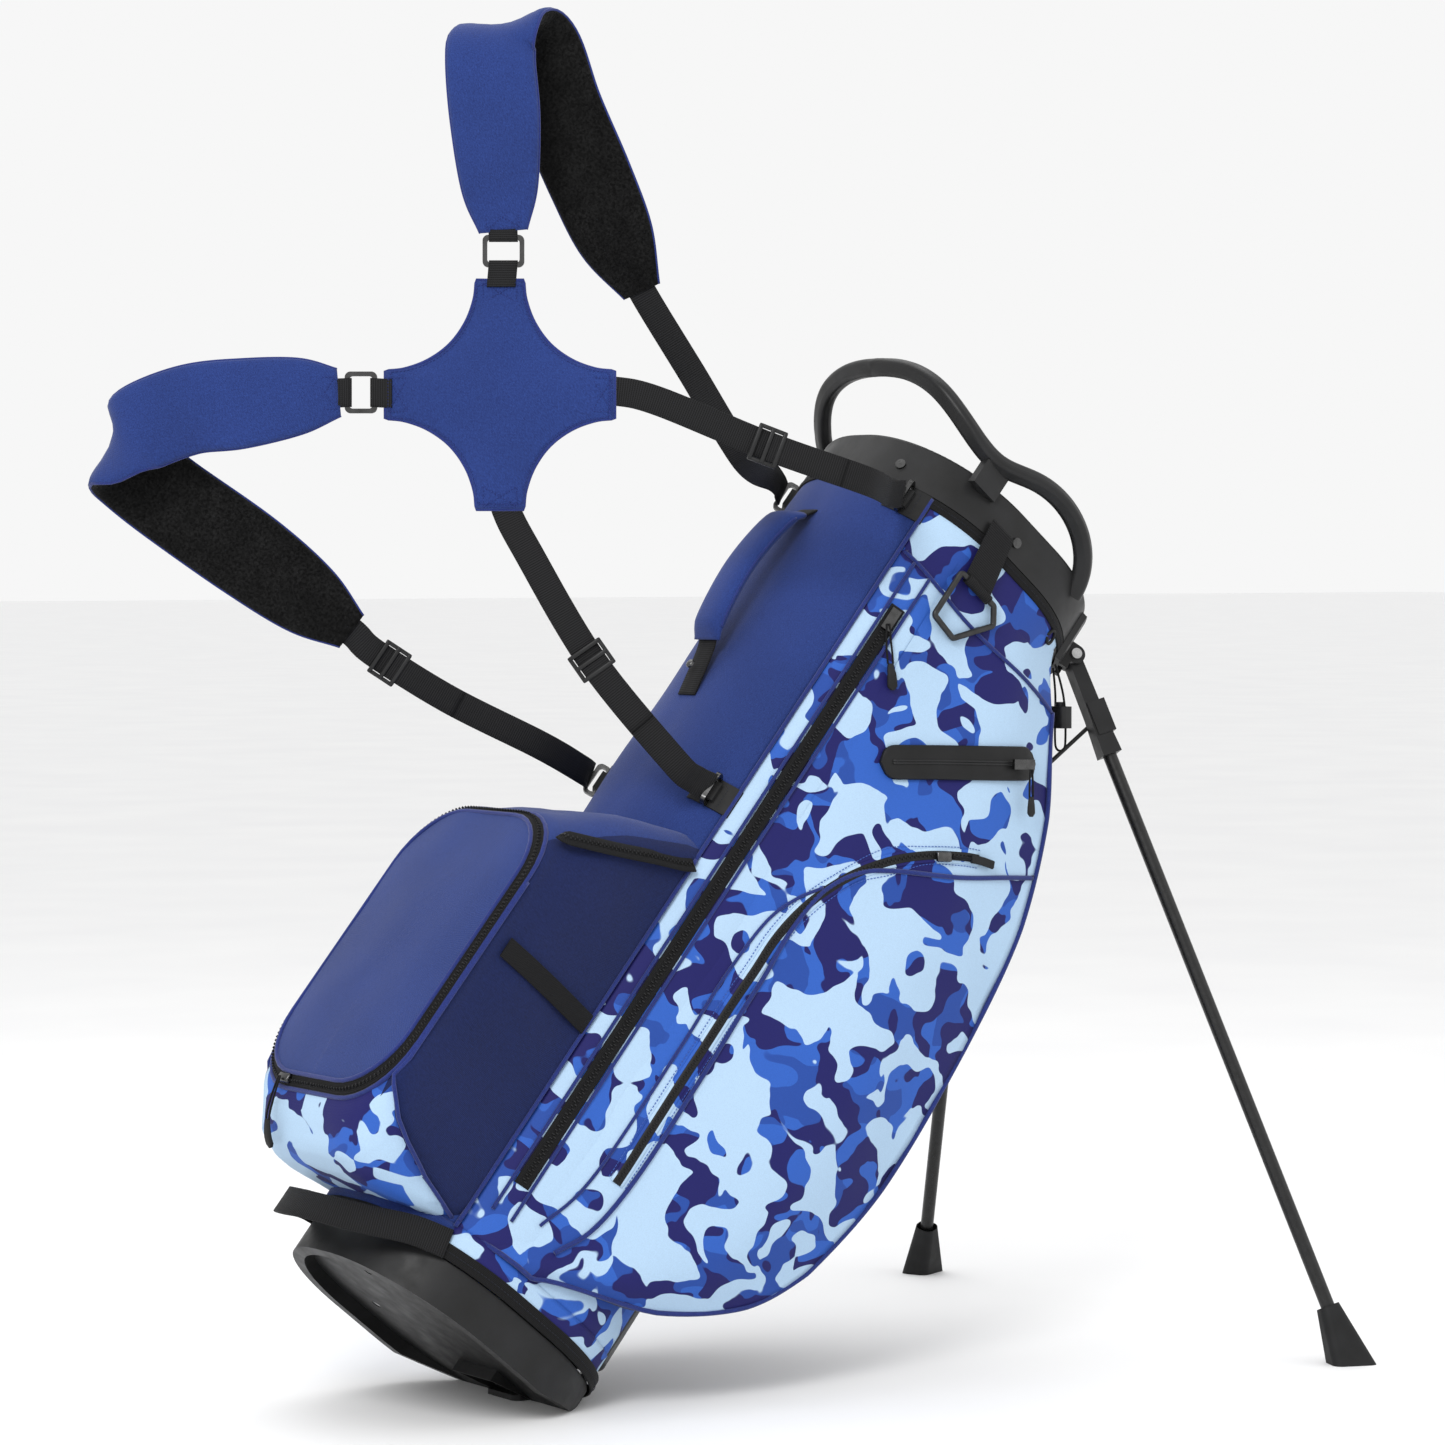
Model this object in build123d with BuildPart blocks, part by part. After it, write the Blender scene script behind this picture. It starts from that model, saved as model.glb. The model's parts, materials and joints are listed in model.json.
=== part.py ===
"""Golf stand bag on its deployed legs, leaning back on the heel of its base.

Every size is in millimetres.  The world frame stands on the floor: +Z is up, +X points from the
base towards the legs, and the origin is on the floor under the heel of the base.  The bag itself
leans, so most pieces are drawn in the bag's own frame: u runs from the spine (-) to the belly (+),
v runs across (equal to world Y) and w runs up the bag from the underside of its base.
"""
import math
import os

from build123d import *

os.makedirs("parts", exist_ok=True)

# ---------------------------------------------------------------- driving dimensions
TILT = 39.67                # lean of the bag from upright, degrees
BAG_LENGTH = 904.0          # underside of the base to the rim
TUBE_DEPTH = 280.0          # spine to belly, outside
TUBE_WIDTH = 248.0          # side to side, outside
TUBE_RADIUS = 115.0         # corner radius of the rounded section
TUBE_WALL = 4.0             # fabric, foam and liner together
HEEL_U, HEEL_W = 104.0, 12.0    # heel edge of the base, which meets the floor
HEEL_GAP = 0.3              # clearance under the heel, the kick plate carries the bag
BASE_HEIGHT = 38.0          # moulded base
CUFF_TOP = 64.0             # black fabric cuff round the base
COLLAR_BOTTOM = 862.2       # moulded collar at the rim
SEAM_U = -98.0              # spine panel seam
BELLY_U = 100.0             # belly panel seam
JOINT_GAP = 0.3             # clearance between pieces that are not a fit

HIP = (144.0, 62.0, 872.0)      # leg hinge, bag frame (left leg, v > 0)
FOOT = (698.0, 309.0)           # leg foot on the floor, world X and Y
LEG_TUBE_R = 6.5
ACTUATOR_R = 2.0                # bent wire between kick plate and leg
KICK_PIN_U, KICK_PIN_W = 100.0, 20.0
ROD_PIN = (59.0, 20.0, 10.0)    # actuator wire in the kick plate, world
BOSS_DISTANCE = 62.0            # hip to actuator boss along the leg
BOSS_RISE = 3.0                 # boss off the leg's axis, away from the bag
BOSS_OFFSET = 13.0              # actuator wire beside the leg, towards the middle

WEBBING_WIDTH = 25.0
WEBBING_THICKNESS = 2.0

# ---------------------------------------------------------------- frames
LEAN_SIN = math.sin(math.radians(TILT))
LEAN_COS = math.cos(math.radians(TILT))
U_DIR = Vector(LEAN_COS, 0, -LEAN_SIN)
W_DIR = Vector(LEAN_SIN, 0, LEAN_COS)
BAG = Plane(
    origin=U_DIR * -HEEL_U + W_DIR * -HEEL_W + Vector(0, 0, HEEL_GAP),
    x_dir=U_DIR,
    z_dir=W_DIR,
)


def along(u, v, w):
    """Direction given in the bag frame."""
    return U_DIR * u + Vector(0, v, 0) + W_DIR * w


def at(u, v, w):
    """Point given in the bag frame."""
    return BAG.origin + along(u, v, w)


def level(w):
    """Cross-section plane of the bag at height w."""
    return BAG.offset(w)


def seat(point, x_dir, z_dir):
    """Plane at a world point, with the given x and normal directions."""
    return Plane(origin=point, x_dir=x_dir, z_dir=z_dir)


def flat_across(v):
    """Plane parallel to the bag's middle plane: x is u, y is w, normal is -v."""
    return seat(at(0, v, 0), along(1, 0, 0), along(0, -1, 0))


def save(part, name):
    """Label one finished piece and write its STEP file."""
    part.label = name
    export_step(part, f"parts/{name}.step")


def tube_outline(grow=0.0):
    """Rounded section of the bag, grown outwards, or inwards when negative."""
    RectangleRounded(TUBE_DEPTH + 2 * grow, TUBE_WIDTH + 2 * grow, TUBE_RADIUS + grow)


def tube_ring(outer, inner, low, high):
    """Hollow length of the bag between two grown outlines, in the active part."""
    with BuildSketch(level(low)) as section:
        tube_outline(outer)
        RectangleRounded(
            TUBE_DEPTH + 2 * inner, TUBE_WIDTH + 2 * inner, TUBE_RADIUS + inner, mode=Mode.SUBTRACT
        )
    extrude(section.sketch, amount=high - low)


def keep_between(low_u, high_u, low_w, high_w, low_v=-300.0, high_v=300.0):
    """Cut the active part back to a block of the bag frame."""
    with BuildSketch(level(low_w)) as block:
        with Locations(((low_u + high_u) / 2, (low_v + high_v) / 2)):
            Rectangle(high_u - low_u, high_v - low_v)
    extrude(block.sketch, amount=high_w - low_w, mode=Mode.INTERSECT)


def ribbon(stations, thickness, width=WEBBING_WIDTH):
    """Flat strap through stations of (point, width direction), in the active part.

    A station may carry its own width, thickness and running direction after these two.
    """
    points = [station[0] for station in stations]
    last = len(points) - 1
    sections = []
    for index, station in enumerate(stations):
        before = points[max(index - 1, 0)]
        after = points[min(index + 1, last)]
        run = station[4] if len(station) > 4 else (after - before).normalized()
        across = station[1] - run * station[1].dot(run)
        wide = station[2] if len(station) > 2 else width
        thick = station[3] if len(station) > 3 else thickness
        with BuildSketch(seat(points[index], across, run)) as section:
            Rectangle(wide, thick)
        sections.append(section.sketch)
    for lower, upper in zip(sections, sections[1:]):
        loft([lower, upper], ruled=True)


def wire(points, radius, bend):
    """Round bar along straight runs with filleted corners, in the active part."""
    with BuildLine() as path:
        FilletPolyline(*points, radius=bend)
    with BuildSketch(Plane(origin=path.line @ 0, z_dir=path.line % 0)) as section:
        Circle(radius)
    sweep(section.sketch, path=path.line)


def clear_of_floor():
    """Cut the active part along the bevel of the base and the floor beyond its heel."""
    far_w = HEEL_W + (160 - HEEL_U) * math.tan(math.radians(TILT))
    with BuildSketch(flat_across(150)) as below:
        with BuildLine():
            Polyline((50, 0), (HEEL_U, HEEL_W), (160, far_w), (160, -20), (50, -20), (50, 0))
        make_face()
    extrude(below.sketch, amount=300, mode=Mode.SUBTRACT)


def kick_well():
    """Cut the well the kick plate swings in from the active part."""
    with BuildSketch(flat_across(NOTCH_HALF)) as well:
        with BuildLine():
            Polyline((60, -10), (60, 30), (110, 30), (133, 66), (160, 66), (160, -10), (60, -10))
        make_face()
    extrude(well.sketch, amount=2 * NOTCH_HALF, mode=Mode.SUBTRACT)


# ---------------------------------------------------------------- base
NOTCH_HALF = 27.0
EAR_HALF = 31.0
FLOOR_LOW, FLOOR_HIGH = 12.0, 18.0
KICK_PIN_R = 2.5

with BuildPart() as base_moulding:
    with BuildSketch(level(0)):
        tube_outline(-2)
    extrude(amount=BASE_HEIGHT)
    with BuildSketch(level(FLOOR_HIGH)):
        tube_outline(-6)
        with Locations((100, 0)):
            Rectangle(88, 2 * EAR_HALF, mode=Mode.SUBTRACT)
    extrude(amount=BASE_HEIGHT - FLOOR_HIGH, mode=Mode.SUBTRACT)
    with BuildSketch(level(0)):
        tube_outline(-14)
        with Locations((100, 0)):
            Rectangle(88, 2 * EAR_HALF, mode=Mode.SUBTRACT)
    extrude(amount=FLOOR_LOW, mode=Mode.SUBTRACT)
    clear_of_floor()
    kick_well()
    with BuildSketch(flat_across(EAR_HALF)):
        with Locations((KICK_PIN_U, KICK_PIN_W)):
            Circle(KICK_PIN_R)
    extrude(amount=2 * EAR_HALF, mode=Mode.SUBTRACT)
    with BuildSketch(level(FLOOR_LOW)):
        with Locations((-88, 0), (-20, -72), (-20, 72)):
            Circle(4.5)
    extrude(amount=3, mode=Mode.SUBTRACT)
save(base_moulding.part, "base_moulding")

with BuildPart() as base_screws:
    with BuildSketch(level(FLOOR_LOW + 0.6)):
        with Locations((-88, 0), (-20, -72), (-20, 72)):
            Circle(4.2)
    extrude(amount=2.4)
save(base_screws.part, "base_screws")

with BuildPart() as kick_plate_pin:
    with BuildSketch(flat_across(EAR_HALF)):
        with Locations((KICK_PIN_U, KICK_PIN_W)):
            Circle(KICK_PIN_R)
    extrude(amount=2 * EAR_HALF)
save(kick_plate_pin.part, "kick_plate_pin")

PLATE_BACK, PLATE_FRONT = -14.0, 68.0
PLATE_HALF = 25.0
PLATE_THICKNESS = 5.0
KICK_PIN = at(KICK_PIN_U, 0, KICK_PIN_W)
LUG_HALF_GAP, LUG_THICKNESS = 10.0, 6.0

with BuildPart() as kick_plate:
    with BuildSketch(Plane.XY):
        with Locations(((PLATE_BACK + PLATE_FRONT) / 2, 0)):
            RectangleRounded(PLATE_FRONT - PLATE_BACK, 2 * PLATE_HALF, 8)
    extrude(amount=PLATE_THICKNESS)
    with BuildSketch(Plane.XZ.offset(-PLATE_HALF)):
        with Locations((KICK_PIN.X, KICK_PIN.Z)):
            Circle(6)
    extrude(amount=2 * PLATE_HALF)
    for side in (-1, 1):
        with BuildSketch(Plane.XZ.offset(-side * (LUG_HALF_GAP + LUG_THICKNESS / 2) - LUG_THICKNESS / 2)):
            with BuildLine():
                Polyline((45, 2), (53, 15), (65, 15), (67, 2), (45, 2))
            make_face()
        extrude(amount=LUG_THICKNESS)
    with BuildSketch(Plane.XZ.offset(-PLATE_HALF)):
        with Locations((KICK_PIN.X, KICK_PIN.Z)):
            Circle(KICK_PIN_R + 0.06)
    extrude(amount=2 * PLATE_HALF, mode=Mode.SUBTRACT)
    with BuildSketch(Plane.XZ.offset(-PLATE_HALF)):
        with Locations((ROD_PIN[0], ROD_PIN[2])):
            Circle(ACTUATOR_R + 0.8)
    extrude(amount=2 * PLATE_HALF, mode=Mode.SUBTRACT)
save(kick_plate.part, "kick_plate")

with BuildPart() as base_cuff:
    tube_ring(1, -TUBE_WALL, BASE_HEIGHT + JOINT_GAP, CUFF_TOP)
    clear_of_floor()
    kick_well()
save(base_cuff.part, "base_cuff")

# ---------------------------------------------------------------- tube walls
WALL_LOW = CUFF_TOP + 0.2
WALL_HIGH = COLLAR_BOTTOM - 0.2

with BuildPart() as spine_panel:
    tube_ring(0, -TUBE_WALL, WALL_LOW, WALL_HIGH)
    keep_between(-200, SEAM_U, WALL_LOW, WALL_HIGH)
save(spine_panel.part, "spine_panel")

with BuildPart() as belly_panel:
    tube_ring(0, -TUBE_WALL, WALL_LOW, WALL_HIGH)
    keep_between(BELLY_U, 200, WALL_LOW, WALL_HIGH)
save(belly_panel.part, "belly_panel")

with BuildPart() as side_panel_left:
    tube_ring(0, -TUBE_WALL, WALL_LOW, WALL_HIGH)
    keep_between(SEAM_U, BELLY_U, WALL_LOW, WALL_HIGH, low_v=0)
save(side_panel_left.part, "side_panel_left")

with BuildPart() as side_panel_right:
    add(mirror(side_panel_left.part, about=Plane.XZ))
save(side_panel_right.part, "side_panel_right")

STAY_R = 3.0
with BuildPart() as stay_rods:
    with BuildSketch(level(FLOOR_HIGH)):
        with Locations((-108, -68), (-108, 68)):
            Circle(STAY_R)
    extrude(amount=834 - FLOOR_HIGH)
save(stay_rods.part, "stay_rods")

# ---------------------------------------------------------------- collar and divider
COLLAR_WALL = 9.0
DIVIDER_LOW, DIVIDER_HIGH = 836.0, 901.0
GRID_WALL = 7.0

# moulded handle, from the belly end of its right-hand grip round to the middle of the top bow
HANDLE_HALF = (
    (74, 113, 891),
    (52, 128, 917),
    (12, 135, 934),
    (-38, 132, 932),
    (-75, 123.5, 921),
    (-112, 110, 930),
    (-147, 84, 949),
    (-163, 44, 960),
)
with BuildPart() as top_collar:
    tube_ring(2, 2 - COLLAR_WALL, COLLAR_BOTTOM, BAG_LENGTH)
    fillet(top_collar.faces().sort_by(Axis(BAG.origin, W_DIR))[-1].edges(), 3)
    half = [at(*point) for point in HANDLE_HALF]
    mirrored = [at(u, -v, w) for u, v, w in reversed(HANDLE_HALF)]
    with BuildLine() as handle_path:
        Spline(*half, at(-167, 0, 962), *mirrored)
    grip_run = handle_path.line % 0
    with BuildSketch(seat(handle_path.line @ 0, grip_run.cross(W_DIR), grip_run)) as grip:
        RectangleRounded(17, 14, 5)
    sweep(grip.sketch, path=handle_path.line)
    for side in (-1, 1):
        with BuildSketch(level(BAG_LENGTH - 14)):
            with Locations((-74, side * 121.5)):
                Rectangle(30, 9)
        extrude(amount=26)
    with BuildSketch(level(DIVIDER_LOW)):
        tube_outline(2 - COLLAR_WALL)
    extrude(amount=BAG_LENGTH - DIVIDER_LOW, mode=Mode.SUBTRACT)
save(top_collar.part, "top_collar")

with BuildPart() as divider_grid:
    tube_ring(1.7 - COLLAR_WALL, -2.3 - COLLAR_WALL, DIVIDER_LOW, DIVIDER_HIGH)
    with BuildSketch(level(DIVIDER_LOW)):
        for side in (-1, 1):
            with BuildLine():
                Line((-126, side * 44), (-80, side * 48))
            trace(line_width=GRID_WALL)
            with BuildLine():
                ThreePointArc((-66, side * 48), (8, side * 66), (80, side * 50))
            trace(line_width=GRID_WALL)
            with BuildLine():
                ThreePointArc((112, side * 66), (88, side * 58), (78, side * 34))
            trace(line_width=GRID_WALL)
            for start_u, end_u in ((-43, -50), (12, 14), (62, 74)):
                with BuildLine():
                    Line((start_u, side * 58), (end_u, side * 118))
                trace(line_width=GRID_WALL)
        with BuildLine():
            ThreePointArc((-80, -49), (-64, 0), (-80, 49))
        trace(line_width=GRID_WALL)
        with BuildLine():
            ThreePointArc((78, -36), (72, 0), (78, 36))
        trace(line_width=GRID_WALL)
        with BuildLine():
            Line((-66, 0), (74, 0))
        trace(line_width=GRID_WALL)
        with BuildLine():
            Line((8, -64), (8, 64))
        trace(line_width=GRID_WALL)
        RectangleRounded(
            TUBE_DEPTH + 2 * (1 - COLLAR_WALL),
            TUBE_WIDTH + 2 * (1 - COLLAR_WALL),
            TUBE_RADIUS + 1 - COLLAR_WALL,
            mode=Mode.INTERSECT,
        )
    extrude(amount=DIVIDER_HIGH - DIVIDER_LOW - 3)
save(divider_grid.part, "divider_grid")

# ---------------------------------------------------------------- leg hinges
HIP_U, HIP_V, HIP_W = HIP
RIGHT_HIP = at(HIP_U, -HIP_V, HIP_W)
RIGHT_FOOT = Vector(FOOT[0], -FOOT[1], 12)
LEG_RUN = RIGHT_FOOT - RIGHT_HIP
LEG_DIR = LEG_RUN.normalized()
LEG_LENGTH = LEG_RUN.length
FOLD_AXIS = W_DIR.cross(LEG_DIR).normalized() * -1
if FOLD_AXIS.Y < 0:
    FOLD_AXIS = FOLD_AXIS * -1
PIN_R = 3.0
KNUCKLE_R, KNUCKLE_HALF = 8.0, 9.0
EAR_GAP, EAR_THICKNESS = 9.5, 5.0
FITTING_END = 98.0
TUBE_START, TUBE_END = 80.0, LEG_LENGTH - 14


def leg_plane(distance, shift=0.0):
    """Plane across the right leg; x is the hinge pin's direction, y points away from the bag."""
    return seat(RIGHT_HIP + LEG_DIR * distance + FOLD_AXIS * shift, FOLD_AXIS, LEG_DIR)


def pin_plane(shift):
    """Plane across the right hinge pin at a distance along it; y is up the bag."""
    return seat(RIGHT_HIP + FOLD_AXIS * shift, FOLD_AXIS.cross(W_DIR), FOLD_AXIS)


def save_pair(part, name):
    """Write the right-hand piece and its mirror image."""
    save(part, f"{name}_right")
    save(mirror(part, about=Plane.XZ), f"{name}_left")


BRACKET_LOW, BRACKET_HIGH = 846.0, 898.0
with BuildPart() as hinge_bracket:
    tube_ring(7, 2.2, BRACKET_LOW, BRACKET_HIGH)
    keep_between(104, 200, BRACKET_LOW, BRACKET_HIGH, low_v=-92, high_v=92)
    for shift in (-EAR_GAP - EAR_THICKNESS, EAR_GAP):
        with BuildSketch(pin_plane(shift)):
            Circle(9)
            with Locations((-7, 4)):
                Rectangle(13, 26)
        extrude(amount=EAR_THICKNESS)
    with BuildSketch(pin_plane(-20)):
        Circle(PIN_R)
    extrude(amount=40, mode=Mode.SUBTRACT)
    mirror(about=Plane.XZ)
    with BuildSketch(level(BRACKET_LOW - 10)):
        tube_outline(2.2)
    extrude(amount=BRACKET_HIGH - BRACKET_LOW + 20, mode=Mode.SUBTRACT)
save(hinge_bracket.part, "hinge_bracket")

with BuildPart() as hinge_pin:
    with BuildSketch(pin_plane(-15.5)):
        Circle(PIN_R)
    extrude(amount=31)
    for shift in (-17.5, 14.7):
        with BuildSketch(pin_plane(shift)):
            Circle(5)
        extrude(amount=2.8)
save_pair(hinge_pin.part, "hinge_pin")

with BuildPart() as leg_fitting:
    with BuildSketch(pin_plane(-KNUCKLE_HALF)):
        Circle(KNUCKLE_R)
    extrude(amount=2 * KNUCKLE_HALF)
    with BuildSketch(leg_plane(0)):
        Rectangle(18, 13)
    with BuildSketch(leg_plane(60)):
        Rectangle(17, 15)
    with BuildSketch(leg_plane(FITTING_END)):
        Rectangle(19, 19)
    loft(ruled=True)
    with BuildSketch(leg_plane(BOSS_DISTANCE, -10)):
        with Locations((10, BOSS_RISE)):
            Rectangle(20, 18)
    extrude(amount=16, both=True)
    with BuildSketch(leg_plane(TUBE_START)):
        Circle(LEG_TUBE_R)
    extrude(amount=30, mode=Mode.SUBTRACT)
    with BuildSketch(pin_plane(-20)):
        Circle(PIN_R + 0.06)
    extrude(amount=40, mode=Mode.SUBTRACT)
save_pair(leg_fitting.part, "leg_fitting")

with BuildPart() as leg_tube:
    with BuildSketch(leg_plane(TUBE_START)):
        Circle(LEG_TUBE_R)
        Circle(LEG_TUBE_R - 1.3, mode=Mode.SUBTRACT)
    extrude(amount=TUBE_END - TUBE_START)
save_pair(leg_tube.part, "leg_tube")

FOOT_TOP = LEG_LENGTH - 42
with BuildPart() as leg_foot:
    with BuildSketch(leg_plane(FOOT_TOP)) as foot_neck:
        RectangleRounded(20, 20, 8)
    pad_side = Vector(FOLD_AXIS.X, FOLD_AXIS.Y, 0).normalized()
    with BuildSketch(seat(Vector(FOOT[0] + 3, -FOOT[1] - 5, 0), pad_side, (0, 0, -1))) as foot_pad:
        RectangleRounded(30, 42, 8)
    loft([foot_neck.sketch, foot_pad.sketch], ruled=True)
    with BuildSketch(leg_plane(FOOT_TOP - 1)):
        Circle(LEG_TUBE_R)
    extrude(amount=TUBE_END - FOOT_TOP + 1, mode=Mode.SUBTRACT)
save_pair(leg_foot.part, "leg_foot")

ROD_PIN_RIGHT = Vector(ROD_PIN[0], -ROD_PIN[1], ROD_PIN[2])
ROD_END = RIGHT_HIP + LEG_DIR * BOSS_DISTANCE + FOLD_AXIS * BOSS_OFFSET + LEG_DIR.cross(FOLD_AXIS) * BOSS_RISE
with BuildPart() as actuator_rod:
    wire(
        [
            ROD_PIN_RIGHT + Vector(0, 11, 0),
            ROD_PIN_RIGHT,
            at(160, -30, 430),
            at(180, -55, 745),
            ROD_END,
        ],
        ACTUATOR_R,
        4,
    )
save_pair(actuator_rod.part, "actuator_rod")

# ---------------------------------------------------------------- side pockets
# each row: height, seam on the side wall, two points of the bulging face, belly edge, belly seam
POCKET_SECTIONS = (
    (68, (-84, -100), (-60, -122), (-44, -127), (-24, -126), (-10, -100)),
    (112, (-52, -100), (0, -136), (46, -148), (88, -142), (92, -70)),
    (165, (-48, -100), (10, -142), (90, -163), (158, -150), (118, -74)),
    (225, (-46, -100), (14, -145), (110, -170), (194, -152), (122, -78)),
    (330, (-46, -100), (14, -146), (116, -174), (214, -153), (122, -78)),
    (480, (-46, -100), (12, -144), (112, -170), (210, -153), (122, -78)),
    (600, (-48, -100), (10, -138), (104, -158), (196, -150), (122, -76)),
    (700, (-50, -100), (8, -131), (88, -146), (164, -140), (120, -76)),
    (790, (-52, -100), (0, -125), (60, -130), (124, -116), (112, -72)),
    (846, (-54, -100), (-10, -122), (40, -118), (100, -97), (98, -70)),
)
with BuildPart() as side_pocket:
    for height, seam, swell, bulge, edge, belly in POCKET_SECTIONS:
        with BuildSketch(level(height)):
            with BuildLine():
                Polyline(belly, seam)
                Line(seam, (seam[0], -124))
                Spline((seam[0], -124), swell, bulge, edge)
                Line(edge, belly)
            make_face()
    loft()
    with BuildSketch(level(60)):
        tube_outline(JOINT_GAP)
    extrude(amount=800, mode=Mode.SUBTRACT)
save_pair(side_pocket.part, "side_pocket")

# ---------------------------------------------------------------- ball pocket
BALL_HALF = 98.0
BALL_PROFILE = (
    (-90, 66), (-168, 54), (-206, 56), (-228, 74), (-240, 112), (-240, 352), (-231, 384), (-182, 438), (-90, 474)
)
with BuildPart() as ball_pocket:
    with BuildSketch(flat_across(BALL_HALF)):
        with BuildLine():
            Polyline(*BALL_PROFILE, close=True)
        make_face()
    extrude(amount=2 * BALL_HALF)
    with BuildSketch(seat(at(-250, 0, 262), along(0, 1, 0), along(1, 0, 0))):
        RectangleRounded(2 * BALL_HALF, 440, 52)
    extrude(amount=200, mode=Mode.INTERSECT)
    with BuildSketch(level(40)):
        tube_outline(1 + JOINT_GAP)
    extrude(amount=CUFF_TOP - 40, mode=Mode.SUBTRACT)
    with BuildSketch(level(40)):
        tube_outline(JOINT_GAP)
    extrude(amount=460, mode=Mode.SUBTRACT)
save(ball_pocket.part, "ball_pocket")

# ---------------------------------------------------------------- zips on the near and far walls
MAIN_ZIP_U, MAIN_ZIP_V = -75.0, 113.0
MAIN_ZIP_LOW, MAIN_ZIP_HIGH = 128.0, 752.0
ZIP_SLIDER = (9.0, 3.4, 22.0)
RIGHT_ZIP_OUT = along(-0.45, -0.893, 0)
RIGHT_ZIP_ALONG = along(0.893, -0.45, 0)


with BuildPart() as main_zip:
    with BuildSketch(seat(at(MAIN_ZIP_U, -MAIN_ZIP_V - 0.9, MAIN_ZIP_LOW), RIGHT_ZIP_ALONG, W_DIR)):
        Rectangle(9, 1.2)
    extrude(amount=MAIN_ZIP_HIGH - MAIN_ZIP_LOW)
save_pair(main_zip.part, "main_zip")

with BuildPart() as main_zip_slider:
    with BuildSketch(seat(at(MAIN_ZIP_U, -MAIN_ZIP_V, 728) + RIGHT_ZIP_OUT * 3.9, RIGHT_ZIP_ALONG, W_DIR)):
        Rectangle(ZIP_SLIDER[0], ZIP_SLIDER[1])
    extrude(amount=ZIP_SLIDER[2])
save_pair(main_zip_slider.part, "main_zip_slider")

# ---------------------------------------------------------------- dry pocket zip on each side pocket
WELT_START, WELT_END = at(-15, -135, 627), at(118, -150, 730)
WELT_RUN = (WELT_END - WELT_START).normalized()
WELT_OUT = (along(0, -1, 0) - WELT_RUN * along(0, -1, 0).dot(WELT_RUN)).normalized()
WELT_ACROSS = WELT_RUN.cross(WELT_OUT)
WELT_WIDTH, WELT_THICKNESS = 32.0, 12.0

with BuildPart() as dry_zip_welt:
    ribbon([(WELT_START, WELT_ACROSS), (WELT_END, WELT_ACROSS)], WELT_THICKNESS, WELT_WIDTH)
    add(side_pocket.part, mode=Mode.SUBTRACT)
save_pair(dry_zip_welt.part, "dry_zip_welt")

DRY_SLIDER_LIFT = WELT_THICKNESS / 2 + 0.3 + ZIP_SLIDER[1] / 2
with BuildPart() as dry_zip_slider:
    with BuildSketch(seat(WELT_END - WELT_RUN * 34 + WELT_OUT * DRY_SLIDER_LIFT, WELT_ACROSS, WELT_RUN)):
        Rectangle(ZIP_SLIDER[0], ZIP_SLIDER[1])
    extrude(amount=ZIP_SLIDER[2])
save_pair(dry_zip_slider.part, "dry_zip_slider")

# ---------------------------------------------------------------- spine and base handles
ACROSS = Vector(0, 1, 0)
GRAB_LINE = ((-141.7, 812), (-150, 799), (-163, 780), (-170, 725), (-164, 668), (-152, 644), (-141.7, 598))
with BuildPart() as grab_webbing:
    ribbon([(at(u, 0, w), ACROSS) for u, w in GRAB_LINE], WEBBING_THICKNESS)
save(grab_webbing.part, "grab_webbing")

with BuildPart() as grab_handle:
    ribbon([(at(u, 0, w), ACROSS) for u, w in GRAB_LINE[1:-1]], 17, 40)
    add(grab_webbing.part, mode=Mode.SUBTRACT)
save(grab_handle.part, "grab_handle")

BASE_HANDLE_HALF = ((-97, 102.4, 50), (-125, 88, 43), (-152, 66, 31), (-176, 36, 21))
with BuildPart() as base_handle:
    near = [(at(u, -v, w), W_DIR) for u, v, w in BASE_HANDLE_HALF]
    far = [(at(u, v, w), W_DIR) for u, v, w in reversed(BASE_HANDLE_HALF)]
    ribbon([*near, (at(-184, 0, 18), W_DIR), *far], WEBBING_THICKNESS)
save(base_handle.part, "base_handle")

# ---------------------------------------------------------------- towel ring
TOWEL_V = -129.6
TOWEL_BAR_W = 816.0
TOWEL_WIRE_R = 2.8
with BuildPart() as towel_strap:
    ribbon(
        [(at(-37, -129.2, 874), U_DIR, 30), (at(-27, TOWEL_V + 1.5, 819), U_DIR, 34)],
        2.4,
    )
    with BuildSketch(seat(at(-42, TOWEL_V, TOWEL_BAR_W), ACROSS, U_DIR)):
        Circle(4.8)
    extrude(amount=32)
    with BuildSketch(seat(at(-60, TOWEL_V, TOWEL_BAR_W), ACROSS, U_DIR)):
        Circle(TOWEL_WIRE_R + 0.08)
    extrude(amount=70, mode=Mode.SUBTRACT)
save(towel_strap.part, "towel_strap")

with BuildPart() as towel_ring:
    with BuildLine() as ring_path:
        FilletPolyline(
            at(-50, TOWEL_V, 816),
            at(-50, TOWEL_V, 767),
            at(-20, TOWEL_V, 764),
            at(9, TOWEL_V, 802),
            at(-2, TOWEL_V, 816),
            radius=3.5,
            close=True,
        )
    with BuildSketch(Plane(origin=ring_path.line @ 0, z_dir=ring_path.line % 0)):
        Circle(TOWEL_WIRE_R)
    sweep(path=ring_path.line)
save(towel_ring.part, "towel_ring")

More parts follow.
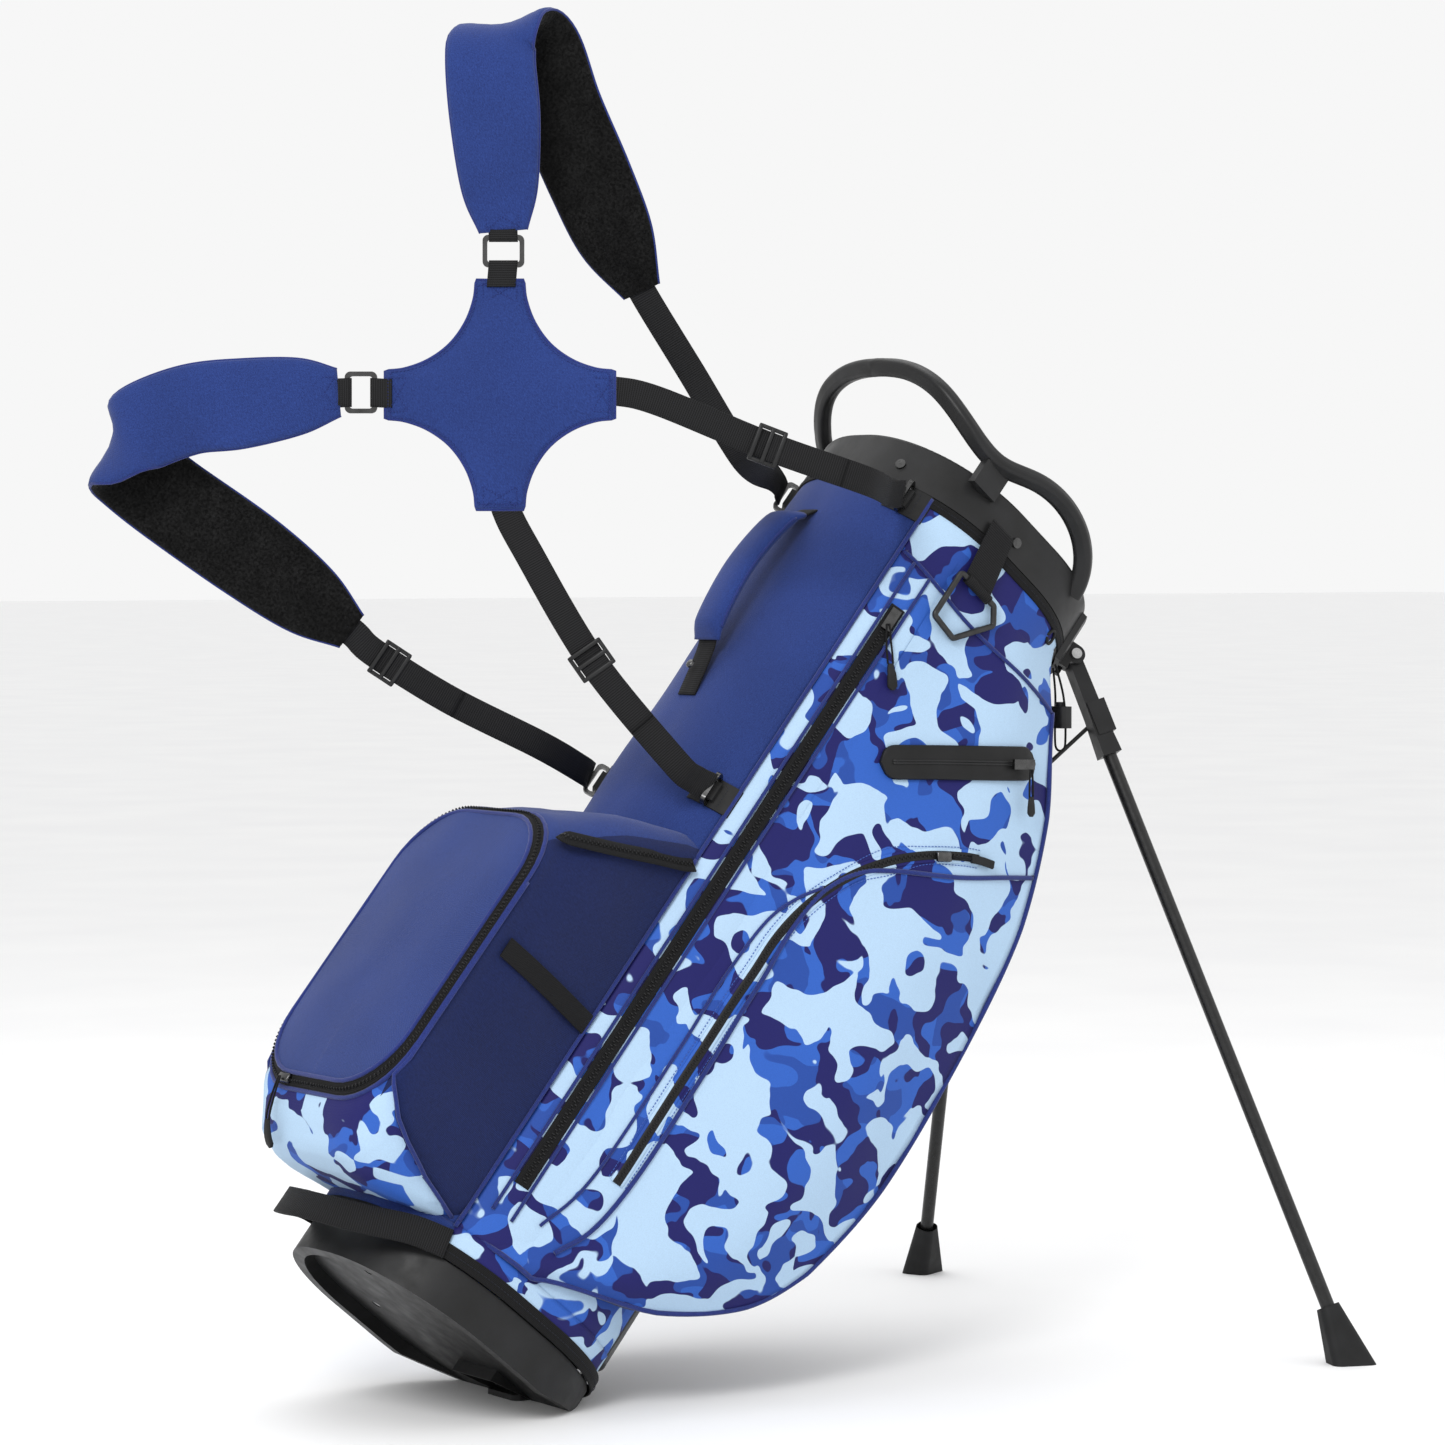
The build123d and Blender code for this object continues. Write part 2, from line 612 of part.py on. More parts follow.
# ---------------------------------------------------------------- elastic cord and its lock
LOCK_RUN = along(0.638, 0, -0.77).normalized()
LOCK_CENTRE = at(148, -93, 806)
CORD_R = 1.05
with BuildPart() as elastic_cord:
    wire(
        [
            at(118, -84, 840),
            at(131.5, -85, 827),
            LOCK_CENTRE - LOCK_RUN * 8 + ACROSS * 7,
            LOCK_CENTRE + LOCK_RUN * 17 + ACROSS * 7.8,
            LOCK_CENTRE + LOCK_RUN * 31 + ACROSS * 6.6,
            LOCK_CENTRE + LOCK_RUN * 31 - ACROSS * 6.6,
            LOCK_CENTRE + LOCK_RUN * 17 - ACROSS * 7.8,
            LOCK_CENTRE - LOCK_RUN * 8 - ACROSS * 7,
            at(127.5, -98.5, 826.5),
            at(110, -96, 838),
        ],
        CORD_R,
        6.4,
    )
save(elastic_cord.part, "elastic_cord")

LOCK_HALF = 10.0
BUTTON_R, BUTTON_TRAVEL = 4.4, 3.0
with BuildPart() as cord_lock:
    with BuildSketch(seat(LOCK_CENTRE - LOCK_RUN * LOCK_HALF, ACROSS, LOCK_RUN)):
        RectangleRounded(22, 14, 5)
    extrude(amount=2 * LOCK_HALF)
    with BuildSketch(seat(LOCK_CENTRE - LOCK_RUN * LOCK_HALF, ACROSS, LOCK_RUN)):
        Circle(BUTTON_R + 0.06)
    extrude(amount=11, mode=Mode.SUBTRACT)
    add(elastic_cord.part, mode=Mode.SUBTRACT)
save(cord_lock.part, "cord_lock")

with BuildPart() as cord_lock_button:
    with BuildSketch(seat(LOCK_CENTRE - LOCK_RUN * (LOCK_HALF + BUTTON_TRAVEL + 1), ACROSS, LOCK_RUN)):
        Circle(BUTTON_R)
    extrude(amount=10)
save(cord_lock_button.part, "cord_lock_button")

# ---------------------------------------------------------------- strap anchors
PATCHES = ((833.0, 861.5), (500.0, 528.0))
RING_REACH, RING_LENGTH, RING_WIRE_R = 14.0, 32.0, 2.0
ANCHOR_OUT = along(-0.77, -0.64, 0).normalized()
ANCHOR_SIDE = W_DIR.cross(ANCHOR_OUT)


def anchor(w):
    """Point on the strap patch at height w, on the near side of the spine."""
    return at(-111.4, -82.6, w)


with BuildPart() as d_rings:
    for low, high in PATCHES:
        middle = anchor((low + high) / 2) + ANCHOR_OUT * (3.2 + RING_REACH / 2)
        with BuildSketch(seat(middle - ANCHOR_SIDE * RING_WIRE_R, W_DIR, ANCHOR_SIDE)):
            RectangleRounded(RING_LENGTH, RING_REACH, 5)
            RectangleRounded(RING_LENGTH - 7, RING_REACH - 7, 3, mode=Mode.SUBTRACT)
        extrude(amount=2 * RING_WIRE_R)
    mirror(about=Plane.XZ)
save(d_rings.part, "d_rings")

with BuildPart() as strap_patches:
    for low, high in PATCHES:
        tube_ring(2.8, 0.3, low, high)
    keep_between(-124, -95, 400, 900, low_v=-100, high_v=-66)
    for low, high in PATCHES:
        with BuildSketch(seat(anchor((low + high) / 2 - 9) + ANCHOR_OUT * 4, ANCHOR_SIDE, W_DIR)):
            Rectangle(11, 11)
        extrude(amount=18)
    with BuildSketch(level(400)):
        tube_outline(JOINT_GAP)
    extrude(amount=500, mode=Mode.SUBTRACT)
    mirror(about=Plane.XZ)
    add(d_rings.part, mode=Mode.SUBTRACT)
save(strap_patches.part, "strap_patches")

RIVETS = ((-16, -126, 878, 0, -1), (-127.1, -66.2, 878, -0.8725, -0.4886))
with BuildPart() as rivets:
    for u, v, w, out_u, out_v in RIVETS:
        outward = along(out_u, out_v, 0)
        with BuildSketch(seat(at(u, v, w) + outward * 0.1, W_DIR, outward)):
            Circle(4.8)
        extrude(amount=1.8)
    mirror(about=Plane.XZ)
save(rivets.part, "rivets")

# ---------------------------------------------------------------- carry harness
HARNESS = Plane(origin=(-12, 0, 871), x_dir=(0.8129, -0.5825, 0), z_dir=(-0.5821, -0.8123, 0.0380))


def hung(a, b, c):
    """Point in the harness frame: a to its right, b up, c towards the wearer."""
    return HARNESS.from_local_coords(Vector(a, b, c))


def facing(a, b, c):
    """Direction in the harness frame."""
    return HARNESS.x_dir * a + HARNESS.y_dir * b + HARNESS.z_dir * c


PAD_A = (
    ((3, 141, 0), (1, 0, 0), 32, 6),
    ((0, 177, 3), (1, 0, 0), 62, 12),
    ((-4, 237, 5), (1, 0, 0), 75, 14),
    ((-8, 288, 5), (1, 0, 0), 75, 14),
    ((-5, 309, -5), (1, 0.05, 0), 75, 14),
    ((12, 317, -25), (0.95, 0.25, 0.1), 75, 14),
    ((31, 304, -42), (0.9, 0.4, 0.2), 75, 14),
    ((50, 253, -52), (0.85, 0.45, 0.3), 75, 14),
    ((76, 193, -62), (0.85, 0.45, 0.3), 75, 14),
    ((99, 141, -70), (0.85, 0.45, 0.3), 68, 12),
    ((121, 97, -80), (0.85, 0.45, 0.3), 32, 6),
)
PAD_B = (
    ((-139, 2, 0), (0, 1, 0), 32, 6),
    ((-172, -1, 3), (0, 1, 0), 62, 12),
    ((-224, -8, 5), (0, 1, 0), 75, 14),
    ((-267, -13, 5), (0.1, 1, 0), 75, 14),
    ((-308, -28, 3), (0.25, 0.95, 0), 75, 14, (-0.95, 0.25, 0)),
    ((-326, -42, -3), (0.35, 0.93, 0), 75, 14, (-0.66, 0.25, -0.7)),
    ((-333, -50, -15), (0.42, 0.9, 0), 75, 14, (0, 0, -1)),
    ((-322, -62, -28), (0.5, 0.86, 0), 75, 14, (0.6, -0.35, -0.7)),
    ((-290, -88, -36), (0.58, 0.81, 0), 75, 14, (0.81, -0.58, -0.1)),
    ((-221, -137, -45), (0.61, 0.79, 0), 75, 14),
    ((-169, -176, -52), (0.61, 0.79, 0), 62, 12),
    ((-133, -203, -58), (0.61, 0.79, 0), 32, 6),
)
STRAP_A = (
    ((123, 94, -80), (0.85, 0.45, 0.3)),
    ((163, 29, -88), (0.85, 0.45, 0.3)),
    ((212, -50, -95), (0.7, 0.6, 0.3)),
    ((256, -62, -272), (0.2, 1, 0.1)),
)
STRAP_B = (
    ((-131, -205, -58), (0.61, 0.79, 0)),
    ((-113, -222, -60), (0.61, 0.79, 0)),
    ((-48, -263, -75), (0.5, 0.85, 0)),
    ((31, -303, -95), (0.45, 0.9, 0)),
    ((74, -330, -160), (0.3, 0.95, 0)),
)
STRAP_RIGHT = (
    ((101, 3, 0), (0, 1, 0)),
    ((138, -6, 0), (0.2, 1, 0)),
    ((233, -45, 0), (0.35, 0.94, 0)),
    ((318, -74, -12), (0.3, 0.95, 0)),
    ((342, -80, -130), (0.2, 1, 0)),
)
STRAP_LOW = (
    ((6, -101, 0), (1, 0, 0)),
    ((22, -132, 0), (0.9, 0.4, 0)),
    ((79, -229, 0), (0.86, 0.5, 0)),
    ((150, -316, -5), (0.8, 0.6, 0)),
    ((166, -335, -28), (0.6, 0.8, 0)),
)


def harness_stations(rows):
    """Turn rows of harness-frame numbers into stations of a ribbon."""
    stations = []
    for row in rows:
        run = [facing(*row[4]).normalized()] if len(row) > 4 else []
        stations.append((hung(*row[0]), facing(*row[1]), *row[2:4], *run))
    return stations


with BuildPart() as shoulder_pad_upper:
    ribbon(harness_stations(PAD_A), 14, 75)
save(shoulder_pad_upper.part, "shoulder_pad_upper")

with BuildPart() as shoulder_pad_lower:
    ribbon(harness_stations(PAD_B), 14, 75)
save(shoulder_pad_lower.part, "shoulder_pad_lower")

HUB_THICKNESS = 8.0
HUB_REACH = 98.0
with BuildPart() as harness_hub:
    with BuildSketch(HARNESS.offset(-HUB_THICKNESS / 2)):
        Circle(58)
        Rectangle(2 * HUB_REACH - 6, 46)
        Rectangle(46, 2 * HUB_REACH - 6)
    extrude(amount=HUB_THICKNESS)
save(harness_hub.part, "harness_hub")

with BuildPart() as harness_rings:
    for centre_a, centre_b, turn in ((3, 124, 0), (-120, 2, 90)):
        with BuildSketch(HARNESS.offset(-1.75)):
            with Locations(Location((centre_a, centre_b, 0), turn)):
                RectangleRounded(36, 28, 5)
                RectangleRounded(28, 20, 3, mode=Mode.SUBTRACT)
        extrude(amount=3.5)
save(harness_rings.part, "harness_rings")

for strap_name, rows in (
    ("strap_upper_far", STRAP_A),
    ("strap_lower_far", STRAP_B),
    ("strap_upper_near", STRAP_RIGHT),
    ("strap_lower_near", STRAP_LOW),
):
    with BuildPart() as strap:
        ribbon(harness_stations(rows), WEBBING_THICKNESS)
    save(strap.part, strap_name)
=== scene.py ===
"""Golf stand bag: fabric body, pockets, zips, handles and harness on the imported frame."""
import json
import math

import bmesh
import bpy
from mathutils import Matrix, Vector, noise
from mathutils.bvhtree import BVHTree

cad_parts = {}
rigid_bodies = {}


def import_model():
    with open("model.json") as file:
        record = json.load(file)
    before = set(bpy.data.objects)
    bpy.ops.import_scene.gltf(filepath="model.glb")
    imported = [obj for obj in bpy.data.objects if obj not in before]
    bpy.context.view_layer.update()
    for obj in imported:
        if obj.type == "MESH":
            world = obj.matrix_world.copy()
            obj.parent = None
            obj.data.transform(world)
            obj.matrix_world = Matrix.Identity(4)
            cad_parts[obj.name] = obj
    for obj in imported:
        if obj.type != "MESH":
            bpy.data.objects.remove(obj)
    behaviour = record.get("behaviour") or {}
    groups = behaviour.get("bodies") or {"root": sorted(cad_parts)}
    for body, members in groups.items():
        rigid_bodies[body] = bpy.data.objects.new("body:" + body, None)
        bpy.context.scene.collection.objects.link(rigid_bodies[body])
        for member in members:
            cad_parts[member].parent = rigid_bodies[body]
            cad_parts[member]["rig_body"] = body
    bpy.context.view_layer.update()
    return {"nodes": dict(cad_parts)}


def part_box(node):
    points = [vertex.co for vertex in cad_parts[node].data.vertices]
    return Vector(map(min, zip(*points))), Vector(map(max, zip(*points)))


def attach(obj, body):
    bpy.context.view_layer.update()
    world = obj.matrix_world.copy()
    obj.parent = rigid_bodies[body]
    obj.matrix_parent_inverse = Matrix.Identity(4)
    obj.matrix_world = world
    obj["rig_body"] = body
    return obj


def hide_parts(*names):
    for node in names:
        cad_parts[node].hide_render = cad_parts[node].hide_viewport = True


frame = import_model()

# ---- frames
TILT = math.radians(39.67)
U = Vector((math.cos(TILT), 0, -math.sin(TILT)))
V = Vector((0, 1, 0))
W = Vector((math.sin(TILT), 0, math.cos(TILT)))
ORIGIN = U * -0.104 + W * -0.012 + Vector((0, 0, 0.0003))
HUB = Vector((-0.012, 0, 0.871))
HUB_A = Vector((0.8129, -0.5825, 0))
HUB_C = Vector((-0.5821, -0.8123, 0.0380))
HUB_B = HUB_C.cross(HUB_A)


def along(u, v, w):
    return U * u + V * v + W * w


def at(u, v, w):
    """Point of the bag frame, millimetres in, metres out."""
    return ORIGIN + along(u, v, w) / 1000


def to_bag(p):
    d = (p - ORIGIN) * 1000
    return d.dot(U), d.y, d.dot(W)


def hung(a, b, c):
    return HUB + (HUB_A * a + HUB_B * b + HUB_C * c) / 1000


def facing(a, b, c):
    return HUB_A * a + HUB_B * b + HUB_C * c


# ---- materials
def linear(r, g, b):
    """sRGB 0-255 to a linear colour."""
    def one(x):
        x /= 255
        return x / 12.92 if x <= 0.04045 else ((x + 0.055) / 1.055) ** 2.4
    return (one(r), one(g), one(b), 1)


class Shader:
    """One procedural material, built node by node."""

    def __init__(self, name, **sockets):
        self.material = bpy.data.materials.new(name)
        self.material.use_nodes = True
        self.tree = self.material.node_tree
        self.bsdf = self.tree.nodes["Principled BSDF"]
        for key, value in sockets.items():
            self.bsdf.inputs[key.replace("_", " ")].default_value = value
        coordinates = self.add("ShaderNodeTexCoord")
        self.uv = coordinates.outputs["UV"]
        self.space = self.add("ShaderNodeMapping", Vector=coordinates.outputs["Object"],
                              Rotation=(0, TILT, 0)).outputs[0]

    def add(self, kind, settings=None, **inputs):
        n = self.tree.nodes.new(kind)
        for key, value in (settings or {}).items():
            setattr(n, key, value)
        for key, value in inputs.items():
            socket = n.inputs[int(key[1:])] if key[0] == "_" else n.inputs[key.replace("_", " ")]
            if isinstance(value, bpy.types.NodeSocket):
                self.tree.links.new(value, socket)
            else:
                socket.default_value = value
        return n

    def noise(self, vector, scale, detail=2.0, distortion=0.0, rough=0.5):
        return self.add("ShaderNodeTexNoise", Vector=vector, Scale=scale, Detail=detail,
                        Distortion=distortion,
                        Roughness=rough).outputs["Fac"]

    def wave(self, vector, scale, direction="X", distortion=0.0):
        return self.add("ShaderNodeTexWave", {"bands_direction": direction, "wave_profile": "SIN"},
                        Vector=vector,
                        Scale=scale, Distortion=distortion).outputs["Fac"]

    def ramp(self, value, *stops, sharp=False):
        n = self.add("ShaderNodeValToRGB", Fac=value)
        n.color_ramp.interpolation = "CONSTANT" if sharp else "LINEAR"
        while len(n.color_ramp.elements) < len(stops):
            n.color_ramp.elements.new(0.5)
        for element, (position, colour) in zip(n.color_ramp.elements, stops):
            element.position = position
            element.color = colour if len(colour) == 4 else (*colour, 1)
        return n.outputs["Color"]

    def grey(self, value, low, high, dark=0.0, light=1.0):
        return self.ramp(value, (low, (dark,) * 3), (high, (light,) * 3))

    def mix(self, factor, a, b, kind="MIX"):
        n = self.add("ShaderNodeMix", {"data_type": "RGBA", "blend_type": kind})
        for index, value in ((0, factor), (6, a), (7, b)):
            if isinstance(value, bpy.types.NodeSocket):
                self.tree.links.new(value, n.inputs[index])
            else:
                n.inputs[index].default_value = value
        return n.outputs[2]

    def math(self, kind, a, b):
        return self.add("ShaderNodeMath", {"operation": kind}, _0=a, _1=b).outputs[0]

    def colour(self, socket):
        self.tree.links.new(socket, self.bsdf.inputs["Base Color"])

    def rough(self, socket):
        self.tree.links.new(socket, self.bsdf.inputs["Roughness"])

    def bump(self, height, strength=0.3, distance=0.0006):
        n = self.add("ShaderNodeBump", Height=height, Strength=strength, Distance=distance)
        self.tree.links.new(n.outputs["Normal"], self.bsdf.inputs["Normal"])


def weave(shader, pitch):
    """Plain weave height from UVs in metres; pitch in metres."""
    scale = 0.314 / pitch
    return shader.math("MULTIPLY", shader.wave(shader.uv, scale, "X"), shader.wave(shader.uv, scale, "Y"))


def cloth(name, dark, light, grain=1300, sheen=0.12, pitch=0.0012, bump=0.35, rough=0.85):
    s = Shader(name, Roughness=rough, Sheen_Weight=sheen, Sheen_Roughness=0.5, Specular_IOR_Level=0.2)
    streaks = s.add("ShaderNodeMapping", Vector=s.space, Scale=(1, 1, 0.25)).outputs[0]
    heather = s.noise(streaks, grain, 3, rough=0.7)
    patches = s.noise(s.space, 9, 3)
    base = s.ramp(heather, (0.28, dark), (0.72, light))
    s.colour(s.mix(0.35, base, s.grey(patches, 0.3, 0.7, 0.55, 1.15), "MULTIPLY"))
    s.bump(s.math("ADD", weave(s, pitch), s.noise(s.space, grain * 1.3, 2)), bump, 0.0005)
    return s.material


def camo(name):
    s = Shader(name, Roughness=0.62, Sheen_Weight=0.02, Sheen_Roughness=0.5, Specular_IOR_Level=0.22)
    ice, royal, mid, navy = (linear(170, 197, 222), linear(34, 70, 150), linear(44, 90, 178),
                             linear(24, 24, 90))
    warp = s.noise(s.space, 26, 1.5)
    warped = s.add("ShaderNodeVectorMath", {"operation": "ADD"}, _0=s.space,
                   _1=s.add("ShaderNodeCombineXYZ", X=s.math("MULTIPLY", warp, 0.035),
                            Z=s.math("MULTIPLY", warp, -0.03)).outputs[0]).outputs[0]

    def field(seed, scale, distortion):
        moved = s.add("ShaderNodeMapping", Vector=warped, Location=(seed, seed * 0.7, seed * 1.3)).outputs[0]
        return s.noise(moved, scale, 0.5, distortion)

    cool = s.mix(s.grey(field(3.1, 19, 0.9), 0.48, 0.484), royal, mid)
    dark = s.mix(s.grey(field(7.7, 25, 0.9), 0.515, 0.519), cool, navy)
    pale = s.mix(s.grey(field(12.9, 23, 1.0), 0.507, 0.511), dark, ice)
    fibre = s.noise(s.space, 1100, 2)
    s.colour(s.mix(0.5, pale, s.grey(fibre, 0.3, 0.7, 0.86, 1.08), "MULTIPLY"))
    s.bump(s.math("ADD", weave(s, 0.0010), s.math("MULTIPLY", s.noise(s.space, 30, 2), 1.5)), 0.16, 0.0006)
    return s.material


def webbing(name, tone=0.008, pitch=0.0020):
    s = Shader(name, Roughness=0.72, Sheen_Weight=0.03, Sheen_Roughness=0.4, Specular_IOR_Level=0.15)
    ribs = s.wave(s.uv, 0.314 / pitch, "Y")
    threads = s.wave(s.uv, 0.314 / 0.0009, "DIAGONAL")
    height = s.math("ADD", ribs, s.math("MULTIPLY", threads, 0.5))
    # colour follows the rib height: painted shade in the troughs between the ribs, painted light on the rib
    # tops
    s.colour(s.ramp(height, (0.2, (tone * 0.5,) * 3), (1.2, (tone * 1.9, tone * 1.9, tone * 2.05))))
    s.bump(height, 0.55, 0.0006)
    return s.material


def plastic(name, tone=0.022, rough=0.42, grain=900, strength=0.06):
    s = Shader(name, Roughness=rough, Specular_IOR_Level=0.28)
    mottle = s.noise(s.space, 35, 4)
    s.colour(s.ramp(mottle, (0.3, (tone * 0.8,) * 3), (0.7, (tone * 1.25, tone * 1.27, tone * 1.35))))
    s.rough(s.grey(s.noise(s.space, 60, 5), 0.25, 0.75, rough - 0.09, rough + 0.1))
    s.bump(s.noise(s.space, grain, 2), strength, 0.0004)
    return s.material


def metal(name, tone, rough=0.28, metallic=1.0):
    s = Shader(name, Roughness=rough, Metallic=metallic)
    s.colour(s.ramp(s.noise(s.space, 120, 4), (0.3, (tone * 0.75,) * 3), (0.7, (tone * 1.2,) * 3)))
    s.rough(s.grey(s.noise(s.space, 300, 5), 0.25, 0.75, rough - 0.08, rough + 0.12))
    s.bump(s.noise(s.space, 1500, 2), 0.04, 0.0003)
    return s.material


def fleece(name, tone=0.005):
    s = Shader(name, Roughness=0.95, Sheen_Weight=0.06, Sheen_Roughness=0.4, Specular_IOR_Level=0.1)
    tuft = s.noise(s.space, 420, 4, 0.5)
    clumps_and_shade = s.noise(s.space, 45, 3)
    # colour follows the tuft and clump relief used for the bump: painted light on the raised pile, painted
    # shade in its hollows
    s.colour(s.mix(0.6, s.ramp(tuft, (0.35, (tone * 0.4,) * 3), (0.7, (tone * 2.2,) * 3)),
                   s.grey(clumps_and_shade, 0.3, 0.7, 0.5, 1.5), "MULTIPLY"))
    s.bump(s.math("ADD", tuft, s.math("MULTIPLY", clumps_and_shade, 1.5)), 0.7, 0.0016)
    return s.material


def mesh_knit(name):
    s = Shader(name, Roughness=0.8, Sheen_Weight=0.2)
    cells = s.add("ShaderNodeTexVoronoi", Vector=s.uv, Scale=420).outputs["Distance"]
    # colour follows the cell depth used for the bump: painted shade down in the mesh holes, painted light on
    # the raised knit between them
    s.colour(s.ramp(cells, (0.1, (0.006,) * 3), (0.6, (0.028, 0.028, 0.03))))
    s.bump(cells, 0.5, 0.0007)
    return s.material


BLUE = cloth("blue_heather", linear(22, 37, 90), linear(40, 64, 130))
NAVY_PANEL = cloth("navy_panel", linear(11, 21, 60), linear(21, 36, 86), sheen=0.1)
PIPING = cloth("navy_piping", linear(22, 34, 92), linear(38, 54, 124), 1200, 0.2)
CAMO = camo("camouflage_print")
BLACK_CLOTH = mesh_knit("black_mesh_cloth")
WEBBING = webbing("black_webbing")
RIBBON = webbing("black_ribbon", 0.006, 0.0012)
FLEECE = fleece("black_fleece")
SATIN = plastic("satin_black_plastic", 0.012, 0.40)
GRAINED = plastic("grained_black_plastic", 0.010, 0.48, 650, 0.16)
COATED = plastic("coated_zip_tape", 0.006, 0.5, 500, 0.05)
TEETH = plastic("zip_coil", 0.012, 0.38)
RUBBER = plastic("black_rubber", 0.010, 0.66, 800, 0.12)
PAINT = metal("black_painted_tube", 0.014, 0.30, 0.3)
GUNMETAL = metal("gunmetal", 0.09, 0.28)
STEEL = metal("zinc_steel", 0.45, 0.32)

# ---- mesh helpers
FLOOR_CLEAR = 0.0004
TOOTH_PITCH = 0.0021
WEB_WIDTH, WEB_THICK = 25.4, 2.2


def add_mesh(name, verts, faces, mats, body="bag", uvs=None, face_mats=None, smooth=True, slot=None,
             replaces=()):
    mesh = bpy.data.meshes.new(name)
    mesh.from_pydata([(v.x, v.y, max(v.z, FLOOR_CLEAR)) for v in verts], [], faces)
    for m in mats if isinstance(mats, (list, tuple)) else [mats]:
        mesh.materials.append(m)
    if uvs:
        layer = mesh.uv_layers.new(name="UVMap")
        for loop in mesh.loops:
            layer.data[loop.index].uv = uvs[loop.vertex_index]
    for index, polygon in enumerate(mesh.polygons):
        polygon.use_smooth = smooth
        if face_mats:
            polygon.material_index = face_mats[index]
    bm = bmesh.new()
    bm.from_mesh(mesh)
    bmesh.ops.recalc_face_normals(bm, faces=bm.faces)
    bm.to_mesh(mesh)
    bm.free()
    obj = bpy.data.objects.new(name, mesh)
    bpy.context.scene.collection.objects.link(obj)
    if body:
        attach(obj, body)
    if replaces:
        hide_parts(*replaces)
    return obj


def lengths(points):
    total, out = 0.0, [0.0]
    for a, b in zip(points, points[1:]):
        total += (b - a).length
        out.append(total)
    return out


def thicken(obj, thickness):
    m = obj.modifiers.new("thickness", "SOLIDIFY")
    m.thickness = thickness / 1000
    m.offset = -1.0
    m.use_even_offset = True
    return obj


def loft(name, rows, mats, across, down, ring, loop=False, caps=False, material_of=None, **options):
    """Quads between rows of points: ring closes each row, loop joins the last row to the first."""
    count, last = len(rows[0]), len(rows)
    faces, kinds = [], []
    for i in range(last if loop else last - 1):
        n = (i + 1) % last
        for j in range(count if ring else count - 1):
            k = (j + 1) % count
            faces.append((i * count + j, i * count + k, n * count + k, n * count + j))
            kinds.append(material_of(i, j) if material_of else 0)
    if caps:
        for base in (0, (last - 1) * count):
            faces.append(tuple(range(base, base + count)))
            kinds.append(0)
    uvs = [(across[j], down[i]) for i in range(last) for j in range(count)]
    return add_mesh(name, [p for row in rows for p in row], faces, mats, uvs=uvs, face_mats=kinds, **options)


def grid(name, rows, mats, closed=False, **options):
    """Surface through rows of points; each row runs along the first direction."""
    middle = lengths([row[len(row) // 2] for row in rows])
    return loft(name, rows, mats, lengths(rows[len(rows) // 2]), middle, closed, **options)


def cubic(a, b, c, d, t):
    """Point at t between b and c on the smooth curve through a, b, c and d."""
    return 0.5 * (2 * b + (c - a) * t + (2 * a - 5 * b + 4 * c - d) * t * t
                  + (3 * b - a - 3 * c + d) * t ** 3)


def spline(points, steps):
    """Smooth curve through points (Vectors or tuples), with steps points on each span."""
    points = [Vector(p) for p in points]
    ends = [points[0] * 2 - points[1]] + points + [points[-1] * 2 - points[-2]]
    out = []
    for i in range(1, len(ends) - 2):
        for k in range(steps):
            out.append(cubic(*ends[i - 1:i + 3], k / steps))
    out.append(points[-1])
    return out


def walk(points, spans):
    """Index and fraction on a line of points, at both ends and at even spacing between."""
    table, i = lengths(points), 0
    for k in range(spans + 1):
        target = table[-1] * k / spans
        while i < len(table) - 2 and table[i + 1] < target:
            i += 1
        yield i, (target - table[i]) / max(1e-9, table[i + 1] - table[i])


def even(points, step):
    """Points at even spacing along a line of points."""
    spans = max(1, int(lengths(points)[-1] / step))
    return [points[i].lerp(points[i + 1], t) for i, t in walk(points, spans)]


def tangents(points, closed=False):
    out = []
    for i in range(len(points)):
        if closed:
            out.append((points[(i + 1) % len(points)] - points[i - 1]).normalized())
        else:
            out.append((points[min(i + 1, len(points) - 1)] - points[max(i - 1, 0)]).normalized())
    return out


def sweep(name, stations, mats, closed=False, **options):
    """Solid through stations of (point, x axis, y axis, profile in mm)."""
    rows = [[p + x * (a / 1000) + y * (b / 1000) for a, b in profile] for p, x, y, profile in stations]
    around = lengths(rows[0] + rows[0][:1])
    down = lengths([s[0] for s in stations])
    return loft(name, rows, mats, around, down, True, loop=closed, caps=not closed, **options)


def round_profile(radius, sides=8):
    return [(radius * math.cos(2 * math.pi * k / sides), radius * math.sin(2 * math.pi * k / sides))
            for k in range(sides)]


def flat_profile(width, thick):
    """Flat strap section with softened edges, wide along x."""
    w, t = width / 2, thick / 2
    return [(-w, -t * 0.5), (-w + t * 0.6, -t), (-w * 0.33, -t), (w * 0.33, -t), (w - t * 0.6, -t),
            (w, -t * 0.5),
            (w, t * 0.5), (w - t * 0.6, t), (w * 0.33, t), (-w * 0.33, t), (-w + t * 0.6, t), (-w, t * 0.5)]


def crowned_profile(width, thick, power=2.6, sides=28):
    """Padded section: a flattened ellipse with full shoulders and a pinched edge."""
    out = []
    for k in range(sides):
        angle = 2 * math.pi * k / sides
        c, s = math.cos(angle), math.sin(angle)
        out.append((width / 2 * math.copysign(abs(c) ** (2 / power), c),
                    thick / 2 * math.copysign(abs(s) ** (2 / power * 1.1), s)))
    return out


def pipe(name, points, radius, mat, closed=False, sides=8, **options):
    runs = tangents(points, closed)
    x = runs[0].orthogonal().normalized()
    stations = []
    for p, run in zip(points, runs):
        x = (x - run * x.dot(run)).normalized()
        stations.append((p, x, run.cross(x), round_profile(radius, sides)))
    return sweep(name, stations, mat, closed=closed, **options)


